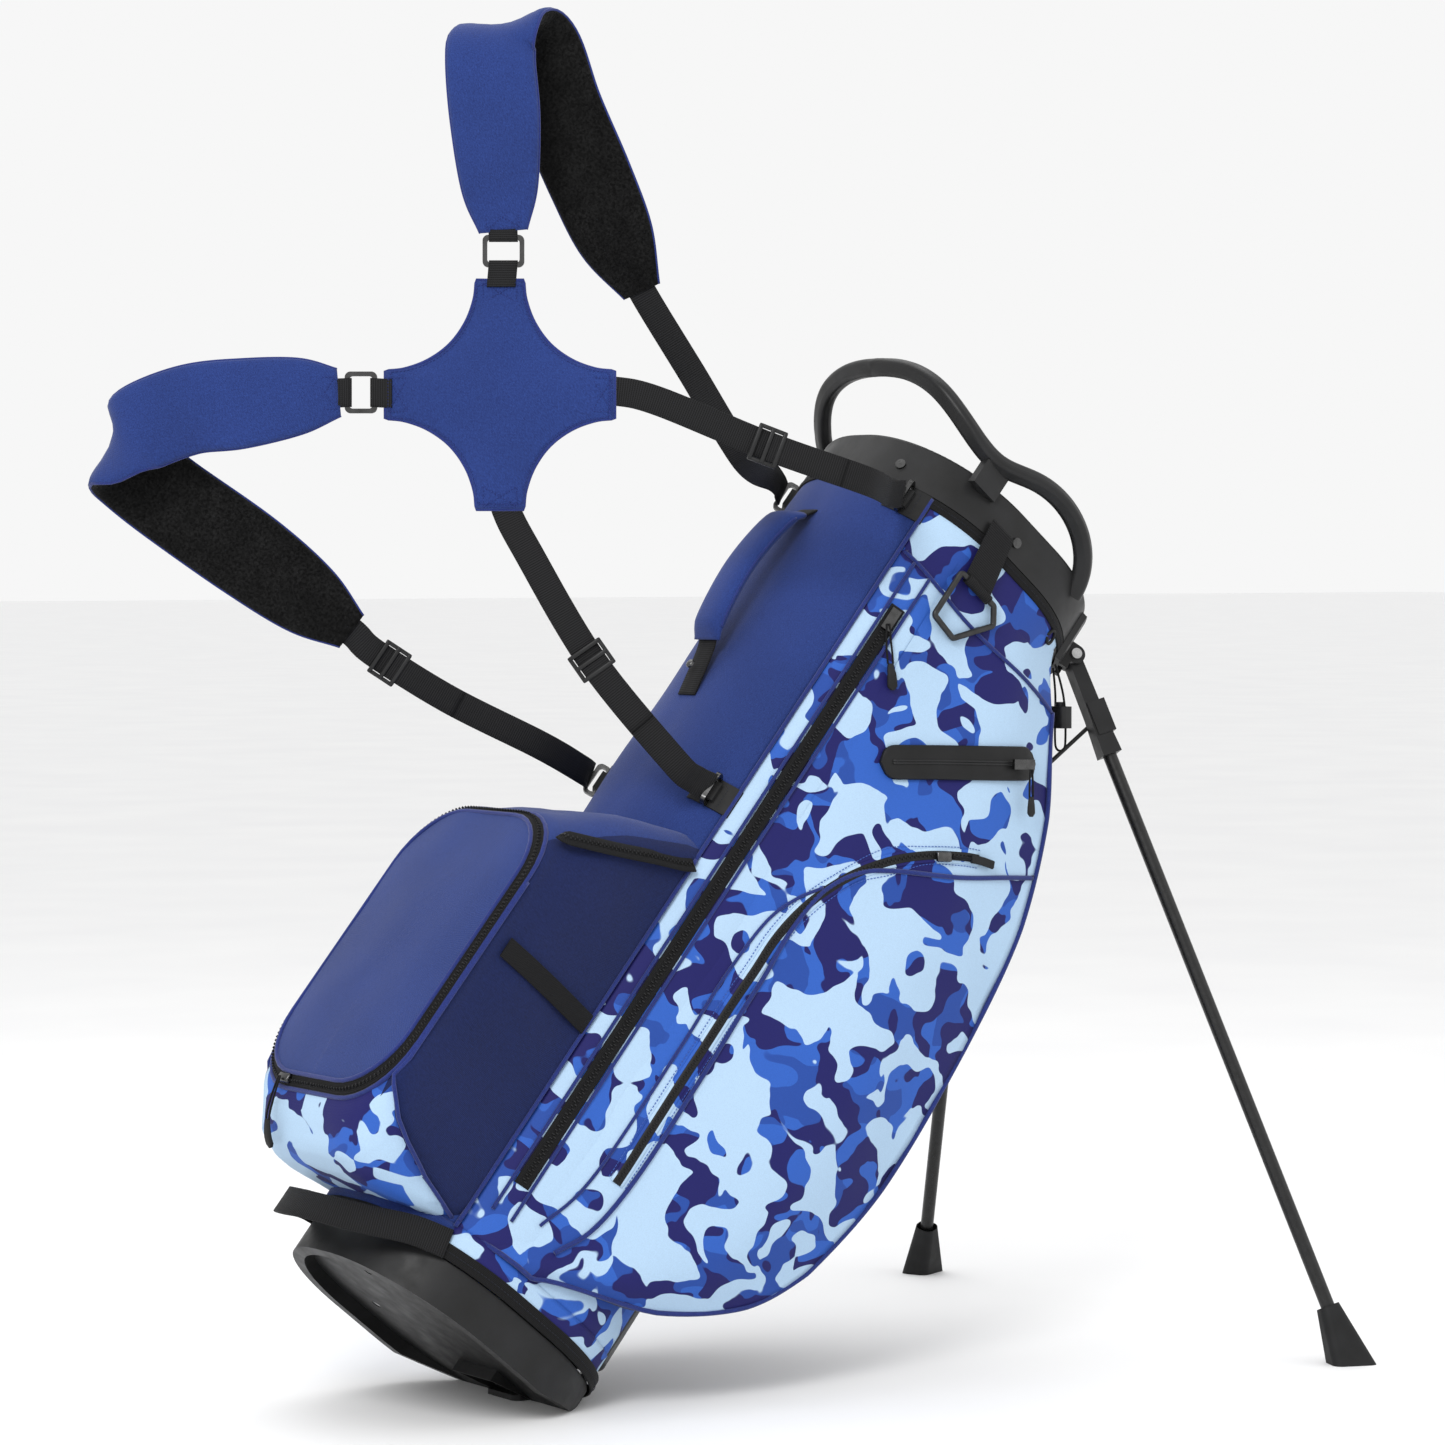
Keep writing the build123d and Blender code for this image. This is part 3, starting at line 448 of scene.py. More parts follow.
def strap(name, points, widths, width, thick, mat, **options):
    """Flat webbing along points with the given width directions."""
    stations = []
    for p, run, across in zip(points, tangents(points), widths):
        x = (across - run * across.dot(run)).normalized()
        stations.append((p, x, run.cross(x), flat_profile(width, thick)))
    return sweep(name, stations, mat, **options)


def wobble(p, size, amount, seed=0.0):
    """Deterministic soft unevenness, in metres."""
    q = p / (size / 1000) + Vector((seed, seed * 1.7, -seed))
    return noise.noise(q) * amount / 1000


# ---- tube wall
HALF_U, HALF_V, CORNER = 140.0, 124.0, 115.0


def wall(s, w, grow=0.0):
    """Point on the tube wall; s runs round from the spine, towards the near side when positive."""
    side = -1 if s >= 0 else 1
    s = abs(s)
    r = CORNER + grow
    arc = CORNER * math.pi / 2
    if s <= 9:
        u, v = -HALF_U - grow, s
    elif s <= 9 + arc:
        a = (s - 9) / CORNER
        u, v = -25 - r * math.cos(a), 9 + r * math.sin(a)
    elif s <= 59 + arc:
        u, v = s - 9 - arc - 25, HALF_V + grow
    elif s <= 59 + 2 * arc:
        a = (s - 59 - arc) / CORNER
        u, v = 25 + r * math.sin(a), 9 + r * math.cos(a)
    else:
        u, v = HALF_U + grow, 68 + 2 * arc - s
    return at(u, v * side, w)


def wall_out(s):
    return (wall(s, 400, 1) - wall(s, 400, 0)).normalized()


SPINE_SEAM, BELLY_SEAM, HALF_ROUND = 110.6, 321.4, 429.2
PANEL_LOW, PANEL_HIGH, PANEL_THICK = 64.5, 861, 3.0
# tag and sign along the wall; the right side is the near one, at negative v
SIDES = (("right", 1), ("left", -1))


def steps(a, b, count):
    return [a + (b - a) * k / count for k in range(count + 1)]


def wall_panel(name, s0, s1, low, high, mat, across, down, grow=0.0, bulge=0.0, **options):
    rows = []
    for w in steps(low, high, down):
        row = []
        for s in steps(s0, s1, across):
            edge = min(s - s0, s1 - s, w - low, high - w) / 30
            p = wall(s, w, grow + bulge * min(1, max(0, edge)))
            row.append(p + wall_out(s) * wobble(p, 70, 1.6, s0) * min(1, max(0, edge)))
        rows.append(row)
    return thicken(grid(name, rows, mat, **options), PANEL_THICK)


spine = wall_panel("spine_cloth", -SPINE_SEAM, SPINE_SEAM, PANEL_LOW, PANEL_HIGH, BLUE, 44, 110, bulge=1.0,
                   slot="blue_fabric", replaces=["spine_panel"])
sides = {}
for tag, sign in SIDES:
    ends = sorted((SPINE_SEAM * sign, BELLY_SEAM * sign))
    sides[tag] = wall_panel(f"side_cloth_{tag}", ends[0], ends[1], PANEL_LOW, PANEL_HIGH, CAMO, 40, 110,
                            bulge=0.4,
                            slot="camo_fabric", replaces=[f"side_panel_{tag}"])
belly_round = [s if s <= HALF_ROUND else s - 2 * HALF_ROUND
               for s in steps(BELLY_SEAM, 2 * HALF_ROUND - BELLY_SEAM, 30)]
rows = [[wall(s, w) for s in belly_round] for w in steps(PANEL_LOW, PANEL_HIGH, 60)]
thicken(grid("belly_cloth", rows, BLACK_CLOTH, slot="black_mesh", replaces=["belly_panel"]), PANEL_THICK)

# ---- side pockets
POCKET = (
    (68, (-84, -104), (-60, -122), (-44, -127), (-24, -126), (-10, -104)),
    (112, (-52, -120), (0, -136), (46, -148), (88, -142), (92, -84)),
    (165, (-48, -122), (10, -142), (90, -163), (158, -150), (118, -76)),
    (225, (-46, -122), (14, -145), (110, -170), (194, -152), (122, -78)),
    (330, (-46, -122), (14, -146), (116, -174), (214, -153), (122, -78)),
    (480, (-46, -122), (12, -144), (112, -170), (210, -153), (122, -78)),
    (600, (-48, -122), (10, -138), (104, -158), (196, -150), (122, -76)),
    (700, (-50, -122), (8, -131), (88, -146), (164, -140), (120, -76)),
    (790, (-52, -122), (0, -125), (60, -130), (124, -116), (112, -78)),
    (846, (-54, -120.5), (-10, -122.5), (40, -119), (100, -97), (98, -78)),
)


def pocket_row(w):
    """The five driving points of the side pocket at height w, eased between the measured ones."""
    i = max(k for k in range(len(POCKET) - 1) if POCKET[k][0] <= w)
    rows = [POCKET[max(0, min(len(POCKET) - 1, k))] for k in (i - 1, i, i + 1, i + 2)]
    t = (w - rows[1][0]) / (rows[2][0] - rows[1][0])
    return [cubic(*(Vector(r[k]) for r in rows), t) for k in range(1, 6)]


def pocket(tag, sign):
    rows = []
    for w in steps(68, 845.9, 96):
        start, swell, bulge, edge, belly = pocket_row(w)
        face = spline([start, swell, bulge, edge], 11)
        turn = [edge.lerp(belly, t) + Vector((3.5, -1.5)) * math.sin(t * math.pi)
                for t in (0.12, 0.3, 0.55, 0.8, 1)]
        row = []
        for k, q in enumerate(face + turn):
            p = at(q.x, q.y * sign, w)
            ease = min(1, k / 5, (w - 68) / 60, (846 - w) / 60)
            p -= V * sign * wobble(p, 55, 2.4, 4.0) * max(0, ease)
            row.append(p)
        rows.append(row)
    return grid(f"side_pocket_cloth_{tag}", rows, [CAMO, NAVY_PANEL], slot="camo_fabric",
                replaces=[f"side_pocket_{tag}"], material_of=lambda i, j: 1 if j >= 34 else 0)


pockets = {tag: pocket(tag, sign) for tag, sign in SIDES}

# ---- lines laid on the sides
bpy.context.view_layer.update()


def tree_of(*objects):
    verts, faces = [], []
    for o in objects:
        base = len(verts)
        verts += [v.co.copy() for v in o.data.vertices]
        faces += [tuple(i + base for i in p.vertices) for p in o.data.polygons]
    return BVHTree.FromPolygons(verts, faces)


skins = {tag: tree_of(sides[tag], pockets[tag]) for tag in ("right", "left")}


def lay(uw, tag, lift=0.0, step=4.0):
    """Lay a line of (u, w) on the outside of a side; gives points and outward normals."""
    sign = -1 if tag == "right" else 1
    flat = even(spline([(u, w, 0) for u, w in uw], 6), step)
    points, normals = [], []
    for q in flat:
        hit, normal, _, _ = skins[tag].ray_cast(at(q.x, 320 * sign, q.y), V * -sign)
        if hit is None:
            hit, normal, _, _ = skins[tag].find_nearest(at(q.x, 110 * sign, q.y))
        if normal.y * sign < 0:
            normal = -normal
        points.append(hit)
        normals.append(normal)
    for _ in range(2):
        normals = [(normals[max(i - 1, 0)] + normals[i] + normals[min(i + 1, len(normals) - 1)]).normalized()
                   for i in range(len(normals))]
    return [p + n * lift / 1000 for p, n in zip(points, normals)], normals


def laid_strip(name, uw, tag, width, thick, lift, mat, taper=False, **options):
    points, normals = lay(uw, tag, lift)
    table = lengths(points)
    stations = []
    for i, (p, run, n) in enumerate(zip(points, tangents(points), normals)):
        wide = width
        if taper:
            end = min(table[i], table[-1] - table[i]) * 1000
            r = width / 2
            wide = width * math.sqrt(max(0.02, 1 - (1 - min(1, end / r)) ** 2))
        x = n.cross(run).normalized()
        stations.append((p, x, n, flat_profile(wide, thick)))
    return sweep(name, stations, mat, **options)


def marks(points, normals, pitch):
    """Point, run and normal of each tooth or stitch along a line."""
    line = even(points, pitch)
    table, i = lengths(points), 0
    for k, p in enumerate(line[:-1]):
        while i < len(table) - 2 and table[i + 1] < k * pitch:
            i += 1
        yield p, (line[k + 1] - p).normalized(), normals[min(i, len(normals) - 1)]


def teeth(name, points, normals, gauge, mat):
    """Two rows of coil teeth along a closed zip, meshed in the middle."""
    verts, faces = [], []
    for i, (p, run, n) in enumerate(marks(points, normals, TOOTH_PITCH)):
        side = n.cross(run).normalized() * (gauge / 4000) * (1 if i % 2 else -1)
        x, y, z = n.cross(run).normalized() * gauge / 3200, run * 0.00062, n * 0.0008
        base = len(verts)
        for a in (-1, 1):
            for b in (-1, 1):
                for c in (-1, 1):
                    verts.append(p + side + x * a * (0.8
                                                     if c > 0 else 1) + y * b * (0.7 if c > 0 else 1) + z * c)
        for f in ((0, 1, 3, 2), (4, 6, 7, 5), (0, 4, 5, 1), (2, 3, 7, 6), (0, 2, 6, 4), (1, 5, 7, 3)):
            faces.append(tuple(base + k for k in f))
    return add_mesh(name, verts, faces, mat, smooth=False)


def stitches(name, points, normals, mat, pitch=3.4, length=2.2, gauge=0.35):
    """A line of separate stitches just proud of the cloth."""
    verts, faces = [], []
    for p, run, n in marks(points, normals, pitch / 1000):
        x = n.cross(run).normalized() * gauge / 1000
        base = len(verts)
        for t, h in ((0, -0.1), (0.25, 0.45), (0.75, 0.45), (1, -0.1)):
            q = p + run * (length / 1000 * t) + n * (h / 1000)
            verts += [q - x, q + n * gauge / 1000, q + x]
        for k in range(3):
            a = base + 3 * k
            faces += [(a, a + 1, a + 4, a + 3), (a + 1, a + 2, a + 5, a + 4)]
    return add_mesh(name, verts, faces, mat)


THREAD = cloth("blue_thread", linear(46, 74, 150), linear(76, 108, 190), 1500)
DARK_THREAD = cloth("dark_thread", linear(24, 26, 34), linear(40, 42, 52), 1500)

ZIP_S = 137.9
for tag, sign in SIDES:
    out = [wall_out(ZIP_S * sign)] * 200
    # main zip: tape, coil, binding either side
    line = [wall(ZIP_S * sign, w, 1.1) for w in steps(126, 754, 157)]
    x_axis = W.cross(wall_out(ZIP_S * sign))
    sweep(f"main_zip_tape_{tag}", [(p, x_axis, wall_out(ZIP_S * sign), flat_profile(14, 1.2)) for p in line],
                 RIBBON, slot="navy_zip", replaces=[f"main_zip_{tag}"])
    teeth(f"main_zip_coil_{tag}", [wall(ZIP_S * sign, w, 2.1) for w in steps(130, 750, 155)], out, 5.0, TEETH)
    for k, offset in enumerate((-9.5, 9.5)):
        pipe(f"zip_piping_{tag}_{k}",
             [wall((ZIP_S + offset) * sign, w, 1.3) for w in steps(96, 799 - k * 4, 115)], 1.7, PIPING)
    pipe(f"spine_piping_{tag}", [wall(SPINE_SEAM * sign, w, 1.2) for w in steps(66, 860, 160)], 2.1, PIPING)
    # yoke seam running into the outer edge of the side pocket
    yoke, _ = lay([(-98, 804), (-43, 790), (16, 786), (60, 787), (100, 790), (124, 791)], tag, 0.9)
    rim_points = []
    for w in steps(792, 68.1, 130):
        q = pocket_row(w)[3]
        rim_points.append(at(q.x, q.y * sign, w))
    hem = [at(q.x, q.y * sign, 68.1) for q in reversed(pocket_row(68.1)[:3])]
    pipe(f"yoke_piping_{tag}", yoke, 1.9, PIPING)
    pipe(f"pocket_edge_piping_{tag}", even(rim_points + hem, 0.005), 2.3, PIPING)
    face = [(190, 655), (150, 626), (102, 590), (46, 554), (19, 530), (2, 497), (-3, 455), (-2, 400),
            (0, 330),
            (1, 250), (0, 180), (-6, 130), (-22, 96)]
    points, normals = lay(face, tag, 1.0)
    pipe(f"pocket_face_piping_{tag}", points, 2.2, PIPING)
    seam, _ = lay([(0, 500), (-14, 476), (-24, 444), (-28, 390), (-27, 300), (-28, 210), (-32, 150),
                   (-44, 108)], tag, 0.6)
    pipe(f"pocket_strip_seam_{tag}", seam, 1.6, PIPING)
    zip_line = [(112, 618), (95, 608), (65, 586), (38, 558), (13, 521), (-3, 480), (-10, 437), (-11, 394),
                (-11, 300),
                (-11, 230), (-11, 176)]
    laid_strip(f"pocket_zip_flap_{tag}", zip_line, tag, 13, 1.0, 0.4, CAMO, slot="camo_fabric")
    laid_strip(f"pocket_zip_tape_{tag}", zip_line, tag, 8.0, 1.4, 0.7, COATED, slot="navy_zip")
    zip_points, zip_normals = lay(zip_line, tag, 1.7)
    teeth(f"pocket_zip_coil_{tag}", zip_points, zip_normals, 3.2, TEETH)
    for k, offset in enumerate((-8.5, 8.5)):
        points, normals = lay([(u + offset * (0.35 if w > 560 else 1), w + offset * (-0.9 if w > 540 else 0))
                               for u, w in zip_line], tag, 0.3)
        stitches(f"pocket_zip_stitch_{tag}_{k}", points, normals, THREAD)
    # waterproof zip: a stiff welt with a slit along it
    welt = [(-15, 627), (51, 678.5), (118, 730)]
    laid_strip(f"dry_zip_plate_{tag}", welt, tag, 31, 5.0, 2.2, COATED, taper=True, slot="navy_zip",
               replaces=[f"dry_zip_welt_{tag}"])
    slit = [(-6, 634), (51, 678.5), (109, 723)]
    for k, offset in enumerate((-1.1, 1.1)):
        laid_strip(f"dry_zip_lip_{tag}_{k}", [(u - offset * 0.6, w + offset * 0.8) for u, w in slit], tag,
                   1.9, 1.2, 5.1,
                   SATIN)

# ---- ball pocket
# height limits, half width and corner radius of the pocket along u
BALL = (
    (-244, 118, 380, 88, 54), (-242, 113, 387, 94, 58), (-236, 108, 392, 99, 60), (-231, 102, 397, 104, 62),
    (-226, 82, 404, 106, 60), (-206, 58, 417, 107, 56), (-186, 53, 434, 107, 52), (-168, 54, 446, 106, 46),
    (-150, 57, 455, 105, 40), (-130, 61, 463, 103, 32), (-112, 64, 470, 101, 26), (-98, 66, 474, 100, 24),
)
BALL_FACE, BALL_FRONT, BALL_BACK = -238, -231, -98
PIPE_LINE = ((-244, 150), (-231, 134), (-226, 122), (-206, 102), (-186, 92), (-150, 80), (-112, 73),
             (-98, 71))


def blend_rows(table, u):
    i = max([k for k in range(len(table) - 1) if table[k][0] <= u] or [0])
    a, b = table[i], table[i + 1]
    t = (u - a[0]) / (b[0] - a[0])
    return [x + (y - x) * t for x, y in zip(a[1:], b[1:])]


def ball_ring(u, inset=0.0):
    """Half ring (v, w) of the ball pocket at u, from the bottom middle round to the top middle."""
    low, high, half, corner = blend_rows(BALL, u)
    low, high, half, corner = low + inset, high - inset, half - inset, max(8, corner - inset)
    flat = half - corner
    arc = [(flat + corner * math.sin(math.radians(90 * k / 8)),
            corner - corner * math.cos(math.radians(90 * k / 8)))
           for k in range(1, 9)]
    half_ring = [(flat * k / 8, low) for k in range(9)] + [(v, low + rise) for v, rise in arc]
    half_ring += [(half, low + corner + (high - low - 2 * corner) * k / 14) for k in range(1, 15)]
    half_ring += [(v, high - rise) for v, rise in reversed(arc[:-1])] + [(flat, high)]
    return half_ring + [(flat * (1 - k / 8), high) for k in range(1, 9)]


def ball_points(u, inset=0.0):
    quarter = ball_ring(u, inset)
    return [at(u, -v, w) for v, w in quarter] + [at(u, v, w) for v, w in reversed(quarter[1:-1])]


shell_rows = []
for u in [-231, -229, -226, -220, -213, -206, -199, -192, -186, -180, -174, -168, -160, -150, -140, -130,
          -121, -112, -105, -98]:
    row = []
    for p in ball_points(u):
        pv = to_bag(p)[1]
        soft = min(1, (u - BALL_FRONT) / 15, (BALL_BACK - u) / 20)
        side = math.copysign(1, pv) if abs(pv) > 85 else 0
        row.append(p + V * side * (wobble(p, 60, 3.2, 9.0) * soft - 0.0015 * soft) + W * wobble(p, 60, 1.5,
                2.0) * soft)
    shell_rows.append(row)


def ball_kind(i, j):
    p = sum((shell_rows[i][k % len(shell_rows[i])] for k in (j, j + 1)), Vector()) / 2
    u, v, w = to_bag(p)
    split = blend_rows(PIPE_LINE, u)[0]
    if w < split and not abs(v) < 1e-9:
        return 1
    count = len(shell_rows[i])
    if 33 <= min(j, count - 1 - j):
        return 2
    return 0


# rows are cut so that the gusset's lower edge follows a grid line
def bend_to_split(rows):
    for row in rows:
        u = to_bag(row[0])[0]
        split = blend_rows(PIPE_LINE, u)[0]
        count = len(row)
        for start, order in ((0, 1), (count, -1)):
            index = [k for k in range(1, count // 2) if to_bag(row[(start + order * k) % count])[2] < split]
            if index:
                k = (start + order * index[-1]) % count
                pu, pv, _ = to_bag(row[k])
                row[k] = at(pu, pv, split - 0.01)
    return rows


grid("ball_pocket_gusset", bend_to_split(shell_rows), [NAVY_PANEL, CAMO, BLUE], closed=True,
     material_of=ball_kind, slot="blue_fabric", replaces=["ball_pocket"])

face_rows = []
for k in range(13):
    t = k / 12
    crown = 7.0 * (1 - (1 - t) ** 2.2)
    quarter = ball_ring(BALL_FACE)
    centre = 250.0
    shrink = 1 - t * 0.999
    ring = []
    for v, w in quarter:
        ring.append(at(BALL_FACE - crown, -v * shrink, centre + (w - centre) * shrink))
    for v, w in reversed(quarter[1:-1]):
        ring.append(at(BALL_FACE - crown, v * shrink, centre + (w - centre) * shrink))
    face_rows.append(ring)
face = grid("ball_pocket_face", face_rows, BLUE, closed=True, slot="blue_fabric")
for v in face.data.vertices:
    v.co -= U * wobble(v.co, 60, 1.6, 5.0)

pipe("ball_face_piping", ball_points(BALL_FACE), 2.0, PIPING, closed=True)
pipe("ball_outer_piping", ball_points(-230), 2.2, PIPING, closed=True)
band = [ball_points(BALL_FACE, -0.4), ball_points(-236, -2.0), ball_points(-233, -2.6),
        ball_points(-230, -1.0)]
grid("ball_zip_tape", band, RIBBON, closed=True, slot="navy_zip")
coil = ball_points(-234.5, -3.0)
coil.append(coil[0])
coil = even(coil, 0.004)
middle = at(-234, 0, 250)
coil_normals = [((p - middle) - U * (p - middle).dot(U)).normalized() for p in coil]
teeth("ball_zip_coil", coil, coil_normals, 4.2, TEETH)
for tag, sign in (("right", -1), ("left", 1)):
    edge = []
    for u in steps(-229, -99, 40):
        split = blend_rows(PIPE_LINE, u)[0]
        low, high, half, corner = blend_rows(BALL, u)
        h = split - low
        v = half - corner + math.sqrt(max(0, corner ** 2 - (corner - h) ** 2)) if h < corner else half
        edge.append(at(u, sign * (v + 0.6), split))
    side = [at(-228.5, sign * (blend_rows(BALL, -228.5)[2] + 0.4), w) for w in steps(330, 140, 24)]
    pipe(f"gusset_piping_{tag}", spline(side[:-1] + edge, 1), 2.0, PIPING)
    back = [at(-99.5, sign * 100.6, w) for w in steps(72, 452, 60)]
    pipe(f"gusset_back_piping_{tag}", back, 2.0, PIPING)
    top = [at(u, sign * v, w) for u, v,
           w in ((-224, 98, 383), (-219, 103, 384), (-200, 105.5, 393), (-170, 105.5, 408),
                                                   (-140, 104.5, 424), (-112, 102.5, 438),
                                                   (-100, 101.5, 446))]
    # cooler zip on the upper edge of the gusset
    run = even(spline(top, 6), 0.004)
    normals = [(V * sign * 0.75 + W * 0.5 - U * 0.2).normalized()] * len(run)
    stations = []
    for p, t, n in zip(run, tangents(run), normals):
        x = n.cross(t).normalized()
        stations.append((p + n * 0.001, x, x.cross(t).normalized(), flat_profile(15, 1.6)))
    sweep(f"cooler_zip_tape_{tag}", stations, RIBBON, slot="navy_zip")
    teeth(f"cooler_zip_coil_{tag}", [p + n * 0.0024 for p, n in zip(run, normals)], normals, 4.2, TEETH)
    # elastic band on the gusset
    pts = []
    for u in steps(-213, -101, 28):
        lift = 1.6 - 1.2 * math.sin((u + 99) / 115 * math.pi)
        pts.append(at(u, sign * (blend_rows(BALL, u)[2] + lift), 274))
    strap(f"gusset_elastic_{tag}", pts, [W] * len(pts), 19, 1.4, RIBBON, slot="black_webbing")

# ---- cuff and bindings
for tag, s0, s1, mat in (("spine", -SPINE_SEAM, SPINE_SEAM, BLUE), ("right", SPINE_SEAM, BELLY_SEAM, CAMO),
                         ("left", -BELLY_SEAM, -SPINE_SEAM, CAMO)):
    rows = [[wall(s, w, 1.1) for s in steps(s0, s1, 40)] for w in steps(50, 68, 4)]
    thicken(grid(f"cuff_cloth_{tag}", rows, mat, slot="camo_fabric" if mat is CAMO else "blue_fabric"), 1.0)
round_trip = steps(-HALF_ROUND, HALF_ROUND, 150)[:-1]
rows = [[wall(s, w, grow) for s in round_trip]
        for w, grow in ((38.4, 0.2), (38.4, 1.3), (39.2, 1.9), (50.6, 1.9), (51.6, 1.3), (51.6, 0.2))]
grid("base_binding", rows, RIBBON, closed=True, slot="black_fabric", replaces=["base_cuff"])
rows = [[wall(s, w, grow) for s in round_trip]
        for w, grow in ((851.5, 0.2), (851.8, 1.6), (852.6, 2.0), (860.6, 2.0), (861.6, 1.6), (861.9, 0.2))]
grid("rim_binding", rows, RIBBON, closed=True, slot="black_fabric")
for w, tag in ((44.5, "base"), (856.5, "rim")):
    line = [wall(s, w, 2.0) for s in round_trip]
    stitches(f"{tag}_binding_stitch", line, [wall_out(s) for s in round_trip], DARK_THREAD, 3.6, 2.4, 0.3)

# ---- kept hard parts
FINISH = {
    SATIN: ("top_collar", "hinge_bracket", "cord_lock", "cord_lock_button", "leg_fitting_left",
            "leg_fitting_right",
            "kick_plate"),
    GRAINED: ("base_moulding",),
    RUBBER: ("leg_foot_left", "leg_foot_right", "strap_patches"),
    PAINT: ("leg_tube_left", "leg_tube_right", "actuator_rod_left", "actuator_rod_right", "stay_rods"),
    GUNMETAL: ("rivets", "d_rings", "harness_rings", "towel_ring", "main_zip_slider_left",
               "main_zip_slider_right",
               "dry_zip_slider_left", "dry_zip_slider_right"),
    STEEL: ("base_screws", "kick_plate_pin", "hinge_pin_left", "hinge_pin_right"),
}
for mat, names in FINISH.items():
    for name in names:
        node = frame["nodes"][name]
        node.data.materials.clear()
        node.data.materials.append(mat)
for name in ("towel_ring", "harness_rings"):
    frame["nodes"][name].data.materials[0] = metal(f"black_{name}", 0.035, 0.34, 0.6)

# ---- fleece dividers
source = frame["nodes"]["divider_grid"]
divider = bpy.data.objects.new("divider_fleece", source.data.copy())
scene_root = bpy.context.scene.collection
scene_root.objects.link(divider)
divider.data.materials.clear()
divider.data.materials.append(FLEECE)
remesh = divider.modifiers.new("remesh", "REMESH")
remesh.mode = "VOXEL"
remesh.voxel_size = 0.0028
soften = divider.modifiers.new("soften", "SMOOTH")
soften.factor = 0.6
soften.iterations = 5
bpy.context.view_layer.update()
baked = bpy.data.meshes.new_from_object(divider.evaluated_get(bpy.context.evaluated_depsgraph_get()))
divider.modifiers.clear()
divider.data = baked
for polygon in baked.polygons:
    polygon.use_smooth = True
tufted = [v.co + v.normal * wobble(v.co, 14, 1.0, 3.0) for v in baked.vertices]
for vertex, place in zip(baked.vertices, tufted):
    vertex.co = place
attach(divider, "bag")
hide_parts("divider_grid")

# ---- spine handle
GRAB = ((-141.9, 812), (-150, 799), (-163, 780), (-170, 725), (-164, 668), (-152, 644), (-141.9, 598))
line = even(spline([(u, w, 0) for u, w in GRAB], 12), 3.0)
centre = [at(q.x, 0, q.y) for q in line]
strap("grab_strap", centre, [V] * len(centre), WEB_WIDTH, WEB_THICK, WEBBING, slot="black_webbing",
      replaces=["grab_webbing"])
tube = [q for q in line if 650 < q.y < 797]
stations = []
for i, q in enumerate(tube):
    t = i / (len(tube) - 1)
    end = max(0.25, min(1, math.sin(math.pi * t) * 3.2))
    p = at(q.x, 0, q.y)
    after, before = tube[min(i + 1, len(tube) - 1)], tube[max(i - 1, 0)]
    run = (at(after.x, 0, after.y) - at(before.x, 0, before.y)).normalized()
    out = V.cross(run).normalized()
    if out.dot(U) > 0:
        out = -out
    lump = 1 + wobble(p, 40, 60, 1.0)
    stations.append((p + out * 0.001 * (1 - end), V, out,
                     crowned_profile(38 + 1.5 * end, 5 + 12.5 * end * lump, 2.4)))
pad = sweep("grab_handle_pad", stations, BLUE, slot="blue_fabric", replaces=["grab_handle"])
for k, side in enumerate((-1, 1)):
    seam = [p + x * side * 0.0197 + y * 0.0002 for p, x, y, _ in stations[4:-4]]
    pipe(f"grab_handle_seam_{k}", seam, 0.9, PIPING)


def box_stitch(name, centre, x, y, n, width, height, mat):
    """Box of stitches with a cross in it."""
    def corner(a, b):
        return centre + x * a * width / 2000 + y * b * height / 2000
    lines = [(corner(-1, -1), corner(1, -1)), (corner(1, -1), corner(1, 1)), (corner(1, 1), corner(-1, 1)),
             (corner(-1, 1), corner(-1, -1)), (corner(-1, -1), corner(1, 1)), (corner(-1, 1), corner(1, -1))]
    for k, (a, b) in enumerate(lines):
        stitches(f"{name}_{k}", [a, b], [n, n], mat, 2.6, 1.8, 0.28)


# ---- base handle
half = ((-97, 102.4, 50), (-125, 88, 43), (-152, 66, 31), (-176, 36, 21), (-184, 0, 18))
points = [(u, -v, w) for u, v, w in half] + [(u, v, w) for u, v, w in reversed(half[:-1])]
centre = [at(*q) for q in spline(points, 10)]
strap("base_handle_webbing", centre, [W] * len(centre), WEB_WIDTH, WEB_THICK, WEBBING, slot="black_webbing",
      replaces=["base_handle"])

# ---- towel loop
stations = []
for t in steps(0, 1, 14):
    u, v, w = -37 + 10 * t, -129.4 + 1.1 * t, 876 - 57 * t
    stations.append((at(u, v, w), U, -V, flat_profile(30 + 4 * t, 2.4)))
sweep("towel_loop_webbing", stations, WEBBING, slot="black_webbing", replaces=["towel_strap"])
barrel = [at(u, -129.6, 816) for u in steps(-42, -10, 10)]
stations = [(p, V, W, round_profile(4.7, 14)) for p in barrel]
sweep("towel_loop_fold", stations, WEBBING, slot="black_webbing")

